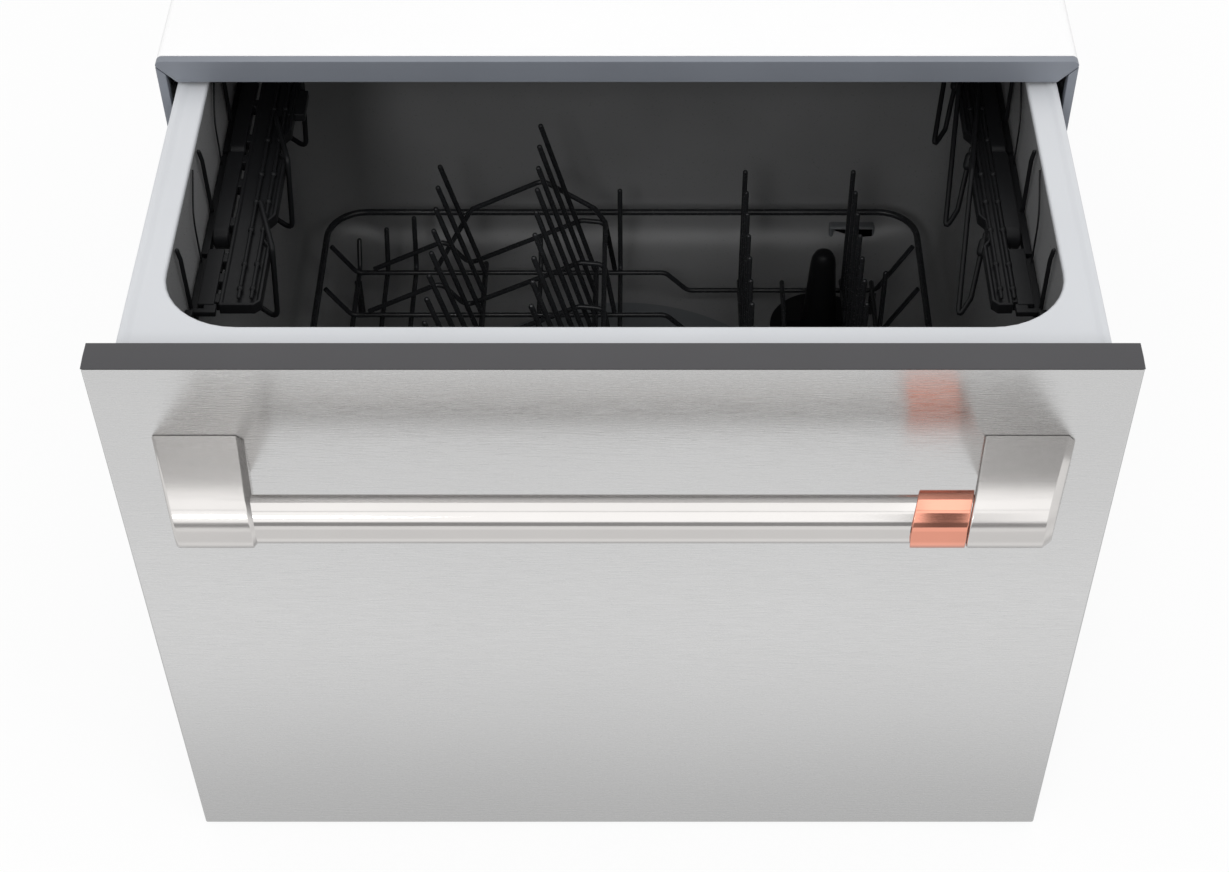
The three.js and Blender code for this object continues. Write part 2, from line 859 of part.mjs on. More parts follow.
function doorInnerFrame() {
  const x = halfDoor - doorSkin - gap;
  const bottom = doorFloorGap + doorSkin + gap;
  const front = doorSkin + gap;
  const block = box(-x, x, front, doorThickness, bottom, frameTop);
  const rib = doorFrameWall;
  const halfBacking = noseRadius + postBacking;
  const [outer, inner] = [postOuterRoot + rib, postInnerRoot - rib];
  const columns = [-x, -outer, -inner, 0, inner, outer, x];
  const rows = [bottom, ...doorRibZ, barZ - halfBacking, barZ + halfBacking, frameTop];
  const pockets = [];
  for (let c = 0; c < columns.length - 1; c++) {
    for (let r = 0; r < rows.length - 1; r++) {
      const behindPost = r === 3 && (c === 1 || c === 4);
      if (behindPost) continue;
      pockets.push(
        box(
          columns[c] + rib / 2,
          columns[c + 1] - rib / 2,
          front - past,
          doorThickness - rib,
          rows[r] + rib / 2,
          rows[r + 1] - rib / 2,
        ),
      );
    }
  }
  return cut(block, pockets);
}

function doorTopCap() {
  const z = capFrontZ + gap;
  const lip = alongX(
    [
      [0, z],
      [doorThickness, z],
      [doorThickness, doorTop],
      [capChamfer, doorTop],
      [0, z + capNose],
    ],
    -halfDoor,
    halfDoor,
  );
  const x = halfDoor - doorSkin - gap;
  const plug = box(-x, x, doorSkin + gap, doorThickness, doorTop - capDepth, z + weld);
  return join([lip, plug]);
}

// ---- Handle ----

const innerSlope = (postInnerRoot - postInnerNose) / barStandOff;
const outerSlope = (postOuterRoot - postOuterNose) / barStandOff;
const noseFront = -barStandOff - noseRadius;

function postPlan(inner, outer, reach) {
  return [
    [inner, -gap],
    [inner + innerSlope * reach, reach],
    [outer + outerSlope * reach, reach],
    [outer, -gap],
  ];
}

function handlePost(sign) {
  const profile = new THREE.Shape();
  profile.moveTo(-gap, barZ + noseRadius + postTopRise);
  profile.lineTo(-barStandOff, barZ + noseRadius);
  profile.absarc(-barStandOff, barZ, noseRadius, Math.PI / 2, 1.5 * Math.PI, false);
  profile.lineTo(-gap, barZ - noseRadius);
  const [inner, outer] = [postInnerNose - noseRadius, postOuterRoot + noseRadius];
  const block = alongX(profile, Math.min(sign * inner, sign * outer), Math.max(sign * inner, sign * outer));
  const plan = postPlan(postInnerRoot, postOuterRoot, noseFront - past);
  const halfBlock = 2 * noseRadius;
  const body = common(block, alongZ(onSide(plan, sign), barZ - halfBlock, barZ + halfBlock));
  const hollowFront = -barStandOff + barRadius + postWall;
  const hollow = alongZ(
    onSide(postPlan(postInnerRoot + postWall, postOuterRoot - postWall, hollowFront), sign),
    barZ - noseRadius + postWall,
    barZ + noseRadius - postWall,
  ).translate(0, gap, 0);
  const socket = rod(
    [sign * inner, -barStandOff, barZ],
    [sign * (postInnerNose + socketDepth + gap), -barStandOff, barZ],
    barRadius + gap,
    20,
  );
  return cut(body, [hollow, socket]);
}

function handleBar() {
  const x = postInnerNose + socketDepth;
  return rod([-x, -barStandOff, barZ], [x, -barStandOff, barZ], barRadius, 20);
}

// A sleeve on the bar against the right post, its ends parallel to the post's side.
function handleRing() {
  const right = postInnerRoot - gap;
  const left = right - ringLength;
  const reach = noseFront - past;
  const from = [left - noseRadius, -barStandOff, barZ];
  const to = [right + noseRadius, -barStandOff, barZ];
  const sleeve = cut(rod(from, to, noseRadius, 24), [rod(from, to, barRadius + gap, 24)]);
  const plan = [
    [left, 0],
    [left + innerSlope * reach, reach],
    [right + innerSlope * reach, reach],
    [right, 0],
  ];
  return common(sleeve, alongZ(plan, barZ - 2 * noseRadius, barZ + 2 * noseRadius));
}

// ---- Tub, Y from the front of the door ----

const cornerSteps = 5;

function openingOutline(inset, corner = tubCorner) {
  return roundedOutline(
    -halfOpening + inset,
    halfOpening - inset,
    tubOpeningFront + inset,
    tubOpeningBack - inset,
    corner,
    cornerSteps,
  );
}

const wallSlope = tubDraft / (rimTop - tubFloorZ);

// How far the tub's inner wall leans in at a height.
function leanAt(z) {
  return wallSlope * (rimTop - z);
}

function tub() {
  const under = openingOutline(leanAt(tubUnder) - tubWall);
  const outer = loft(under, tubUnder, openingOutline(leanAt(tubTop) - tubWall), tubTop);
  const flange = alongZ(openingOutline(-tubFlange), tubTop - tubWall, tubTop);
  const wellFloor = tubFloorZ - drainFilterDepth;
  const wellRadius = drainFilterRadius + drainWellWall / 2;
  const [x, y] = [drainFilterX, drainFilterY];
  const well = post(wellRadius + drainWellWall, x, y, wellFloor - drainWellWall, tubFloorZ - gap, 20);
  const inner = loft(openingOutline(leanAt(tubFloorZ)), tubFloorZ, openingOutline(leanAt(rimTop)), rimTop);
  const sumpHole = post(tubHoleRadius, 0, pumpY, tubUnder - past, tubFloorZ + past, 24);
  const wellHole = post(wellRadius, x, y, wellFloor, tubFloorZ + past, 20);
  return cut(join([outer, flange, well]), [inner, sumpHole, wellHole]);
}

function tubRim() {
  const half = halfRim;
  const front = doorThickness + gap;
  const back = tubOpeningBack + rimBack;
  const outline = (inset) =>
    roundedOutline(-half + inset, half - inset, front + inset, back - inset, rimCorner - inset, 3);
  const plate = ring(outline(0), openingOutline(0), rimTop - rimThickness, rimTop + beadRise);
  const skirt = ring(outline(0), outline(rimSkirtWall), rimTop - rimSkirt, rimTop - rimThickness + weld);
  // the bead runs along the front and the sides, and is open at the back, where the lid's seal passes over
  const flat = (inset) =>
    roundedOutline(-half + inset, half - inset, front + inset, back + rimCorner, rimCorner - inset, 3);
  const sunk = loft(flat(beadWidth + beadSlope), rimTop, flat(beadWidth - beadSlope), rimTop + 2 * beadRise);
  return join([cut(plate, [sunk]), skirt]);
}

// Shut, the drawer's own runners lie level with the fixed ones.
const shutShift = doorThickness + closedGap;
const slideWebX = middleWebX - runnerMiddleReach - gap; // inner face of the sliding runner's web
const slideTipX = slideWebX - runnerSheet + runnerInnerReach;

function slidingRunner(sign) {
  const outline = channel(slideTipX - runnerInnerReach, runnerInnerReach, slideHalfHeight, runnerSheet, -1);
  return alongY(onSide(outline, sign), runnerFront + shutShift, runnerBack + shutShift);
}

// A folded bracket between the tub's wall and its runner, from the back of the door.
function slideBracket(sign) {
  const top = runnerZ + bracketHeight / 2;
  const bottom = runnerZ - bracketHeight / 2;
  const outer = slideTipX - runnerInnerReach - gap;
  const inner = halfOpening - leanAt(top) + tubWall + gap;
  const outline = [
    [inner, bottom],
    [inner + sheet, bottom],
    [inner + sheet, top - sheet],
    [outer - sheet, top - sheet],
    [outer - sheet, bottom],
    [outer, bottom],
    [outer, top],
    [inner, top],
  ];
  return alongY(onSide(outline, sign), doorThickness + gap, tubOpeningBack - rimBack);
}

// ---- Wash system under and in the tub ----

const sumpTop = tubUnder - gap;
const sumpBottom = sumpTop - sumpDepth;

function sumpHousing() {
  const profile = [
    [shaftRadius + gap, sumpBottom],
    [sumpRadius, sumpBottom],
    [sumpRadius, sumpTop],
    [sumpRadius - sumpWall, sumpTop],
    [sumpRadius - sumpWall, sumpBottom + sumpWall],
    [shaftRadius + gap, sumpBottom + sumpWall],
    [shaftRadius + gap, sumpBottom],
  ];
  return spun(profile, 0, pumpY, 24);
}

const motorTop = sumpBottom - gap;
const shaftBottom = motorTop - motorHeight / 2;

function pumpMotor() {
  const bottom = motorTop - motorHeight;
  const bore = shaftRadius + gap;
  const profile = [
    [0, bottom],
    [motorRadius - motorChamfer, bottom],
    [motorRadius, bottom + motorChamfer],
    [motorRadius, motorTop],
    [bore, motorTop],
    [bore, shaftBottom - gap],
    [0, shaftBottom - gap],
  ];
  return spun(profile, 0, pumpY, 24);
}

function pumpRotor() {
  const discBottom = sumpBottom + sumpWall + impellerFloat;
  const discTop = discBottom + impellerDisc;
  const top = discBottom + impellerHeight;
  const profile = [
    [0, shaftBottom],
    [shaftRadius, shaftBottom],
    [shaftRadius, discBottom],
    [impellerRadius, discBottom],
    [impellerRadius, discTop],
    [impellerHub, discTop],
    [impellerHub, top],
    [0, top],
  ];
  const half = vaneThickness / 2;
  const blades = Array.from({ length: vanes }, (_, i) =>
    box(impellerHub / 2, impellerRadius - half, -half, half, discTop - weld, top)
      .rotateZ((2 * Math.PI * i) / vanes)
      .translate(0, pumpY, 0),
  );
  return join([spun(profile, 0, pumpY, 18), ...blades]);
}

const plateZ = tubFloorZ + gap;
const sprayZ = plateZ + filterPlateThickness + sprayFloat;
const sprayTop = sprayZ + sprayThickness;

function filterPlate() {
  const top = plateZ + filterPlateThickness;
  const lipZ = sprayTop + gap;
  const profile = [
    [waterWayRadius, plateZ],
    [filterPlateRadius, plateZ],
    [filterPlateRadius, top],
    [hubRadius, top],
    [hubRadius, lipZ],
    [hubRadius + hubLip, lipZ],
    [hubRadius + hubLip, lipZ + hubLipHeight],
    [waterWayRadius, lipZ + hubLipHeight],
    [waterWayRadius, plateZ],
  ];
  return spun(profile, 0, pumpY, 24);
}

// A blade with round tips, a round hub and a row of slots along each arm.
function sprayArm() {
  const half = sprayWidth / 2;
  const straight = sprayRadius - half;
  const blade = new THREE.Shape();
  blade.absarc(straight, 0, half, -Math.PI / 2, Math.PI / 2, false);
  blade.absarc(-straight, 0, half, Math.PI / 2, 1.5 * Math.PI, false);
  const plate = alongZ(blade, sprayZ, sprayTop, 4);
  const boss = post(sprayBoss, 0, 0, sprayZ, sprayTop, 20);
  const bore = post(hubRadius + gap, 0, 0, sprayZ - past, sprayTop + past, 20);
  const [length, width] = [spraySlotLength / 2, spraySlotWidth / 2];
  const slots = [-1, 1].flatMap((sign) =>
    Array.from({ length: spraySlots }, (_, i) => {
      const x = sign * (spraySlotStart + i * spraySlotPitch);
      return box(x - length, x + length, -width, width, sprayTop - spraySlotDepth, sprayTop + past);
    }),
  );
  return cut(join([plate, boss]), [bore, ...slots]).translate(0, pumpY, 0);
}

function heaterPlate() {
  const z = tubUnder - gap;
  const profile = [
    [heaterInnerRadius, z - heaterThickness],
    [heaterOuterRadius, z - heaterThickness],
    [heaterOuterRadius, z],
    [heaterInnerRadius, z],
    [heaterInnerRadius, z - heaterThickness],
  ];
  return spun(profile, 0, pumpY, 24);
}

function drainPump() {
  const x = -(sumpRadius + gap + drainPumpRadius);
  const top = sumpBottom + drainPumpRise;
  const z = top - spigotDrop;
  const body = post(drainPumpRadius, x, pumpY, top - drainPumpHeight, top, 16);
  return join([body, rod([x, pumpY, z], [x, pumpY + spigotReach, z], spigotRadius, 12)]);
}

function drainFilter() {
  const flangeTop = plateZ + drainFlangeThickness;
  const gripTop = tubFloorZ + drainGripHeight;
  const bottom = tubFloorZ - drainFilterDepth + gap;
  const profile = [
    [0, bottom],
    [drainFilterRadius, bottom],
    [drainFilterRadius, plateZ],
    [drainFilterRadius + drainFlange, plateZ],
    [drainFilterRadius + drainFlange, flangeTop],
    [drainGripBase, flangeTop],
    [drainGripTop, gripTop - drainGripTop],
    [drainGripTop * 0.72, gripTop - drainGripTop * 0.3],
    [0, gripTop],
  ];
  const half = drainWingThickness / 2;
  const wing = box(-drainWing, drainWing, -half, half, flangeTop - weld, flangeTop + drainWingHeight);
  return join([spun(profile, 0, 0, 16), wing]).translate(drainFilterX, drainFilterY, 0);
}

// The water inlet's hood on the tub's back wall.
function inletHood() {
  const z = tubFloorZ + hoodFloat;
  const back = tubOpeningBack - leanAt(z) - gap;
  const front = back - hoodDepth;
  const left = rightOuterX + hoodShift - hoodWidth / 2;
  const right = left + hoodWidth;
  const hollow = box(
    left + hoodWall,
    right - hoodWall,
    front - past,
    back - hoodWall,
    z - past,
    z + hoodHeight - hoodWall,
  );
  return cut(box(left, right, front, back, z, z + hoodHeight), [hollow]);
}

// ---- Rack ----

const stations = Array.from({ length: gridStations }, (_, i) => gridBack - i * gridPitch);
const gridFront = stations[gridStations - 1];
const lowZ = rackZ - rackDip;
const tinePlaces = Array.from({ length: tineSpan }, (_, i) => gridBack - tineOffset - i * tinePitch);
const wireStack = 1.8 * wire; // between the middles of two crossing wires that touch

// The loop is made of two halves that meet inside each other.
function rackLoop() {
  const outline = roundedOutline(-rackLoopX, rackLoopX, rackLoopFront, rackLoopBack, rackLoopCorner, 4);
  const at = ([x, y]) => [x, y, rackLoopZ];
  const half = outline.length / 2;
  const overlap = 3;
  const middleFront = [0, rackLoopFront];
  const middleBack = [0, rackLoopBack];
  const right = [[-overlap, rackLoopFront], middleFront, ...outline.slice(0, half), middleBack];
  const left = [[overlap, rackLoopBack], middleBack, ...outline.slice(half), middleFront];
  return join([bentWire(right.map(at), loopWire), bentWire(left.map(at), loopWire)]);
}

// A wire from front to back whose rear end turns up.
function longWire(x, z, rise) {
  const bend = gridBack + longBack;
  return bentWire([[x, gridFront - longFront, z], [x, bend, z], [x, bend + upturn, z + rise]], wire);
}

function straightWire(x, z) {
  return rod([x, gridFront - longFront, z], [x, gridBack + longBack, z], wire);
}

// Cross wires rise to the loop at both ends and lie lower on the right.
function rackGrid() {
  const reach = rackLoopX - loopWire - wire;
  const ends = rackLoopZ - gap;
  const stepX = rightInnerX - gridStep;
  const cross = stations.map((y) =>
    bentWire(
      [
        [-reach, y, ends],
        [-reach + gridRise, y, rackZ],
        [stepX, y, rackZ],
        [stepX + gridStepRun, y, lowZ],
        [rackLoopX - lowInset, y, lowZ],
        [reach, y, ends],
      ],
      wire,
    ),
  );
  const left = -rackLoopX + gridLegInset;
  const right = rightOuterX + lowWireRight;
  const weldRise = 1.5 * wire; // the long wires are welded to the cross wires
  const [upperZ, lowerZ] = [rackZ - weldRise, lowZ + weldRise];
  const leftLong = Array.from({ length: leftWires }, (_, i) =>
    longWire(left + i * leftWirePitch, upperZ, leftTurnedUp + i * leftTurnedUpStep),
  );
  const upper = [longWire(bowlWireX, upperZ, turnedUp), longWire(middleWireX, upperZ, middleTurnedUp)];
  const lower = [rightOuterX - lowWireLeft, right].map((x) => straightWire(x, lowerZ));
  const single = rod([right, singleTineY, lowerZ], [right, singleTineY, lowerZ + singleTineHeight], wire);
  const feet = [gridFront - longBack, gridBack - longBack].flatMap((y) => [
    rod([left, y, plateZ], [left, y, upperZ], footWire),
    rod([right, y, plateZ], [right, y, lowerZ], footWire),
  ]);
  return join([...cross, ...leftLong, ...upper, ...lower, single, ...feet]);
}

// A raised wire over the left of the grid, standing on a cross wire.
function leftSupport(y, points) {
  const lift = wireStack + gap;
  return bentWire(
    points.map(([x, z]) => [x, y, rackZ + z + lift]),
    wire,
  );
}

function leftSupports() {
  const ramp = [
    [-rackLoopX + rampInset, 0],
    [rampBendX, rampBendRise],
    [rampDipX, rampDipRise],
    [rampTopX, rampTopRise],
    [tieX, tieRise],
    [supportFootX, 0],
  ];
  const peak = [
    [peakFootX, 0],
    [peakShoulderX, peakShoulderRise],
    [peakX, peakRise],
    [peakEndX, peakEndRise],
    [tieX, tieRise],
    [supportFootX, 0],
  ];
  const standing = stations.slice(0, supportWires);
  const wires = [leftSupport(standing[0], peak), ...standing.map((y) => leftSupport(y, ramp))];
  const z = rackZ + tieRise + wireStack;
  const tie = rod([tieX, standing[supportWires - 1], z], [tieX, standing[0], z], wire);
  return join([...wires, tie]);
}

// A row of tines on a bar that runs front to back, leaning left by an angle.
function tineRow(x, z, tipZ, lean) {
  const reach = (tipZ - z) * Math.tan(lean);
  const bar = rod([x, gridFront - longBack, z], [x, gridBack + longBack, z], rowWire);
  const tines = tinePlaces.map((y) => rod([x, y, z], [x - reach, y, tipZ], wire));
  return join([bar, ...tines]);
}

const barLift = wire + rowWire + gap; // a row's bar over the cross wires
const rightBarZ = lowZ + barLift;
const leftBarZ = rackZ + barLift;
const leftOuterX = leftRowX - leftRowPitch;

// ---- Cup shelves ----

const shelfWallX = halfOpening - leanAt(shelfZ - railHeight);
const shelfPivotX = shelfWallX - gap - railThickness / 2;

// The rail is held to the wall and carries the shelf's pins in two eyes.
function cupRail(sign) {
  const outer = shelfWallX - gap;
  const inner = outer - railThickness;
  const [front, back] = [shelfFront + eyeInset, shelfBack - eyeInset];
  const bottom = shelfZ - railHeight;
  const rail = box(sign * inner, sign * outer, front, back, bottom, shelfZ - railDrop);
  const eyePlaces = [front, back - eyeLength];
  const eyes = eyePlaces.map((y) =>
    box(sign * inner, sign * outer, y, y + eyeLength, bottom, shelfZ + railThickness),
  );
  const hangerInner = outer - hangerThickness;
  const hangers = hangerPlaces.map((y) =>
    box(
      sign * hangerInner,
      sign * outer,
      y - hangerWidth / 2,
      y + hangerWidth / 2,
      shelfZ - railDrop - weld,
      rimTop - hangerDrop,
    ),
  );
  const x = sign * shelfPivotX;
  const bores = eyePlaces.map((y) =>
    rod([x, y - past, shelfZ], [x, y + eyeLength + past, shelfZ], shelfPin + gap, 8),
  );
  return cut(join([rail, ...eyes, ...hangers]), bores);
}

function cupShelf(sign) {
  const outer = shelfPivotX - railThickness / 2 - past;
  const inner = outer - shelfWidth;
  const [front, back] = [shelfFront + shelfEnd, shelfBack - shelfEnd];
  const top = shelfZ + 1;
  const notchX = inner + shelfNotch;
  const outline = [
    [outer, front],
    [outer, back],
    [notchX, back],
  ];
  const pitch = (back - front) / prongs;
  for (let i = prongs - 1; i >= 0; i--) {
    const y = front + (i + 0.5) * pitch;
    const [flat, half] = [notchFlat * pitch, notchHalf * pitch];
    outline.push([inner, y + half], [inner, y - flat], [notchX, y - half]);
    if (i > 0) outline.push([notchX, y - 0.5 * pitch]);
  }
  outline.push([notchX, front]);
  const plate = alongZ(onSide(outline, sign), top - shelfThickness, top);
  const rootZ = top - shelfThickness / 2;
  const wires = Array.from({ length: prongs }, (_, i) => {
    const y = shelfBack - prongStart - i * prongPitch;
    return bentWire(
      [
        [sign * (inner + prongRoot), y + prongRun, rootZ],
        [sign * (inner - prongBendDrop), y + prongRun - prongBendRun, rootZ - prongBendDrop],
        [sign * (inner - prongReach), y, shelfZ - prongDrop],
        [sign * (inner - prongRoot), y + prongHookRun, shelfZ - prongHookDrop],
        [sign * inner, y + prongRiseRun, shelfZ - prongRiseDrop],
        [sign * (inner + prongRoot), y + prongReturnRun, rootZ],
      ],
      prongWire,
    );
  });
  // an arm beyond each end of the plate carries a pin that turns in the rail's eye
  const hingeX = sign * shelfPivotX;
  const arms = [-1, 1].flatMap((end) => {
    const edge = end < 0 ? front : back;
    const far = edge + end * (armThickness + armStep);
    const [y0, y1] = [Math.min(far, far - end * armThickness), Math.max(far, far - end * armThickness)];
    const [h0, h1] = [Math.min(far, edge - end * past), Math.max(far, edge - end * past)];
    const pinEnd = end < 0 ? shelfFront + eyeInset : shelfBack - eyeInset;
    const pinStart = far - end * weld;
    return [
      box(sign * (outer - armReach), hingeX, y0, y1, top - armThickness, top),
      box(sign * (outer - armReach), sign * (outer - armThickness), h0, h1, top - armThickness, top),
      rod(
        [hingeX, Math.min(pinStart, pinEnd), shelfZ],
        [hingeX, Math.max(pinStart, pinEnd), shelfZ],
        shelfPin,
        8,
      ),
    ];
  });
  return join([plate, ...wires, ...arms]);
}

// ---- Dispenser ----

const dispenserFront = tubOpeningFront + leanAt(dispenserZ) + gap;
const dispenserFace = dispenserFront + dispenserDepth;
const dispenserDoorLeft = dispenserLeft + dispenserDoorInset;
const dispenserDoorZ = dispenserZ + dispenserEdge;
const dispenserDoorHeight = dispenserHeight - 2 * dispenserEdge;
const rinseCapX = dispenserLeft + dispenserWidth - rinseCapInset;
const rinseCapZ = dispenserZ + dispenserHeight / 2;

function dispenserBody() {
  const block = box(
    dispenserLeft,
    dispenserLeft + dispenserWidth,
    dispenserFront,
    dispenserFace,
    dispenserZ,
    dispenserZ + dispenserHeight,
  );
  const cup = box(
    dispenserDoorLeft + cupRim,
    dispenserDoorLeft + dispenserDoorWidth - cupRim,
    dispenserFront + cupFloor,
    dispenserFace + past,
    dispenserDoorZ + cupRim,
    dispenserDoorZ + dispenserDoorHeight - cupRim,
  );
  const neck = rod(
    [rinseCapX, dispenserFront + cupFloor, rinseCapZ],
    [rinseCapX, dispenserFace + past, rinseCapZ],
    rinseNeckRadius,
    12,
  );
  return cut(block, [cup, neck]);
}

const dispenserHingeY = dispenserFace + gap + dispenserDoorThickness / 2;

function dispenserLid() {
  const y = dispenserFace + gap;
  const x = dispenserDoorLeft;
  const right = x + dispenserDoorWidth;
  const top = dispenserDoorZ + dispenserDoorHeight;
  const plate = box(x, right, y, y + dispenserDoorThickness, dispenserDoorZ, top);
  const barrel = rod(
    [x, dispenserHingeY, dispenserDoorZ],
    [right, dispenserHingeY, dispenserDoorZ],
    dispenserDoorThickness / 2,
    8,
  );
  const middle = (x + right) / 2;
  const lift = box(
    middle - liftWidth / 2,
    middle + liftWidth / 2,
    y + weld,
    y + dispenserDoorThickness + liftDepth,
    top - 2 * liftHeight,
    top - liftHeight,
  );
  return join([plate, barrel, lift]);
}

function rinseCap() {
  const y = dispenserFace + gap;
  const face = y + rinseCapDepth;
  const disc = rod([rinseCapX, y, rinseCapZ], [rinseCapX, face, rinseCapZ], rinseCapRadius, 16);
  const plug = rod(
    [rinseCapX, y - rinseCapDepth, rinseCapZ],
    [rinseCapX, y + weld, rinseCapZ],
    rinseNeckRadius - gap,
    12,
  );
  const reach = rinseCapRadius - cupFloor;
  const half = rinseGripHeight / 2;
  const grip = box(
    rinseCapX - reach,
    rinseCapX + reach,
    face - weld,
    face + rinseGripHeight,
    rinseCapZ - half,
    rinseCapZ + half,
  );
  return join([disc, plug, grip]);
}

// ---- Assembly ----

const cabinetGroup = new THREE.Group();
cabinetGroup.add(
  part("cabinet_base", "zinc", cabinetBase()),
  part("cabinet_back", "zinc", cabinetBack()),
  part("cabinet_top", "white", cabinetTop()),
  part("bezel_top", "bezelGrey", bezelTop()),
  part("control_module", "midPlastic", controlModule()),
  ...services.map((item) => part(item.name, item.finish, service(item))),
);
for (const { word, sign } of sides) {
  cabinetGroup.add(
    part(`cabinet_side_${word}`, "zinc", cabinetSide(sign)),
    part(`bezel_${word}`, "bezelGrey", bezelSideMember(sign)),
    part(`fixed_runner_${word}`, "zinc", fixedRunner(sign)),
    part(`lid_actuator_${word}`, "darkPlastic", lidActuator(sign)),
  );
}
for (const place of feetPlaces) {
  cabinetGroup.add(part(`foot_${place.word}`, "darkPlastic", foot(place)));
}

const lidGroup = new THREE.Group();
lidGroup.add(part("tub_lid", "white", tubLid()), part("lid_seal", "rubber", lidSeal()));

// The middle runners travel half as far as the drawer.
const middleGroup = new THREE.Group();
for (const { word, sign } of sides) {
  middleGroup.add(part(`middle_runner_${word}`, "zinc", middleRunner(sign)));
}
middleGroup.position.y = -openAtRest / 2;

const drawerGroup = new THREE.Group();
drawerGroup.add(
  part("front_panel", "steel", frontPanel()),
  part("door_inner_frame", "darkPlastic", doorInnerFrame()),
  part("door_top_cap", "capGrey", doorTopCap()),
  part("handle_bar", "handleSteel", handleBar()),
  part("handle_ring", "copper", handleRing()),
  part("tub", "tubGrey", tub()),
  part("tub_rim", "rimGrey", tubRim()),
  part("sump_housing", "darkPlastic", sumpHousing()),
  part("pump_motor", "zinc", pumpMotor()),
  part("pump_rotor", "midPlastic", pumpRotor()),
  part("filter_plate", "midPlastic", filterPlate()),
  part("spray_arm", "midPlastic", sprayArm()),
  part("heater_plate", "zinc", heaterPlate()),
  part("drain_pump", "darkPlastic", drainPump()),
  part("drain_filter", "midPlastic", drainFilter()),
  part("inlet_hood", "midPlastic", inletHood()),
  part("rack_loop", "coatedWire", rackLoop()),
  part("rack_grid", "coatedWire", rackGrid()),
  part("rack_left_supports", "coatedWire", leftSupports()),
  part("tine_row_right_inner", "coatedWire", tineRow(rightInnerX, rightBarZ, rightTipZ, 0)),
  part("tine_row_right_outer", "coatedWire", tineRow(rightOuterX, rightBarZ, rightTipZ, 0)),
  part("tine_row_left_inner", "coatedWire", tineRow(leftRowX, leftBarZ, leftInnerTipZ, leftLean)),
  part("tine_row_left_outer", "coatedWire", tineRow(leftOuterX, leftBarZ, leftOuterTipZ, leftLean)),
  part("dispenser_body", "midPlastic", dispenserBody()),
  part("dispenser_lid", "midPlastic", dispenserLid()),
  part("rinse_cap", "darkPlastic", rinseCap()),
);
for (const { word, sign } of sides) {
  drawerGroup.add(
    part(`handle_post_${word}`, "handleSteel", handlePost(sign)),
    part(`sliding_runner_${word}`, "zinc", slidingRunner(sign)),
    part(`slide_bracket_${word}`, "zinc", slideBracket(sign)),
    part(`cup_rail_${word}`, "darkPlastic", cupRail(sign)),
    part(`cup_shelf_${word}`, "darkPlastic", cupShelf(sign)),
  );
}
drawerGroup.position.y = doorAtRest;

const dishwasherDrawer = new THREE.Group();
dishwasherDrawer.name = "dishwasher_drawer";
dishwasherDrawer.add(cabinetGroup, lidGroup, middleGroup, drawerGroup);
dishwasherDrawer.position.y = -middleY;

export default dishwasherDrawer;
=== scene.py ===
"""Dishwasher drawer, standing half open: the fine surfaces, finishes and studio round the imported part."""

import json
import math

import bmesh
import bpy
from mathutils import Matrix, Vector


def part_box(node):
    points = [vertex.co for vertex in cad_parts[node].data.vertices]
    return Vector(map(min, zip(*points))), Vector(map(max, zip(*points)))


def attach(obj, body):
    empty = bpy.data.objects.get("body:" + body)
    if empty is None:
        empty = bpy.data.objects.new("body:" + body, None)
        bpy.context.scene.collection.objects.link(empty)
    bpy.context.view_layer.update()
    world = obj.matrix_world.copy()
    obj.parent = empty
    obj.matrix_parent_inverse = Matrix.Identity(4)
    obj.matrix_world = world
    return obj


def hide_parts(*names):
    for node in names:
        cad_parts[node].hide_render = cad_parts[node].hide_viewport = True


bl_info = {
    "name": "Dishwasher Drawer",
    "version": (1, 0, 0),
    "blender": (4, 5, 0),
    "location": "3D View > Sidebar > Dishwasher",
    "description": "Builds a half open dishwasher drawer with its racks, finishes and studio",
    "category": "Object",
}

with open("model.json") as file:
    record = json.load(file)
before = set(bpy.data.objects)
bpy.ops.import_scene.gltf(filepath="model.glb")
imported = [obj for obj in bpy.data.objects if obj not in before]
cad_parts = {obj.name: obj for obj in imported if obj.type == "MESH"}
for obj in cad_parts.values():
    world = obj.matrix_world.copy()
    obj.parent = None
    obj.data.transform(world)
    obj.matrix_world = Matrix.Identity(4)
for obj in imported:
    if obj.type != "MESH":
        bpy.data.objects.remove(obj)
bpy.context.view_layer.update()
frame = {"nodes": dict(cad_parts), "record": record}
BODY_OF = {node: body for body, nodes in frame["record"]["behaviour"]["bodies"].items() for node in nodes}
SLOT_OF = {item["node"]: item["material_slot"] for item in frame["record"]["subparts"]}
MM = 0.001
WHOLE = math.tau
QUARTER = math.pi / 2


def edge_of(node, corner, axis):
    """One coordinate of a node's box at rest, in millimetres."""
    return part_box(node)[corner][axis] / MM


def middle_of(node, axis):
    """The middle of a node's box at rest along an axis, in millimetres."""
    return (edge_of(node, 0, axis) + edge_of(node, 1, axis)) / 2


# Places shared by many pieces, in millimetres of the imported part.
DOOR_Y = edge_of("front_panel", 0, 1)
DOOR_HALF = edge_of("front_panel", 1, 0)
DOOR_LOW = edge_of("front_panel", 0, 2)
DOOR_TOP = edge_of("door_top_cap", 1, 2)
TRIM_Y = edge_of("bezel_top", 0, 1)
TRIM_BACK = edge_of("bezel_top", 1, 1)
TRIM_TOP = edge_of("bezel_top", 1, 2)
TRIM_UNDER = edge_of("bezel_top", 0, 2)
TRIM_HALF = edge_of("bezel_top", 1, 0)
BAR_Y, BAR_Z = middle_of("handle_bar", 1), middle_of("handle_bar", 2)
RIM_TOP = DOOR_TOP - 20
FLOOR_Z = 104
PUMP_Y = DOOR_Y + 290
FILTER_X, FILTER_Y = 159, DOOR_Y + 413

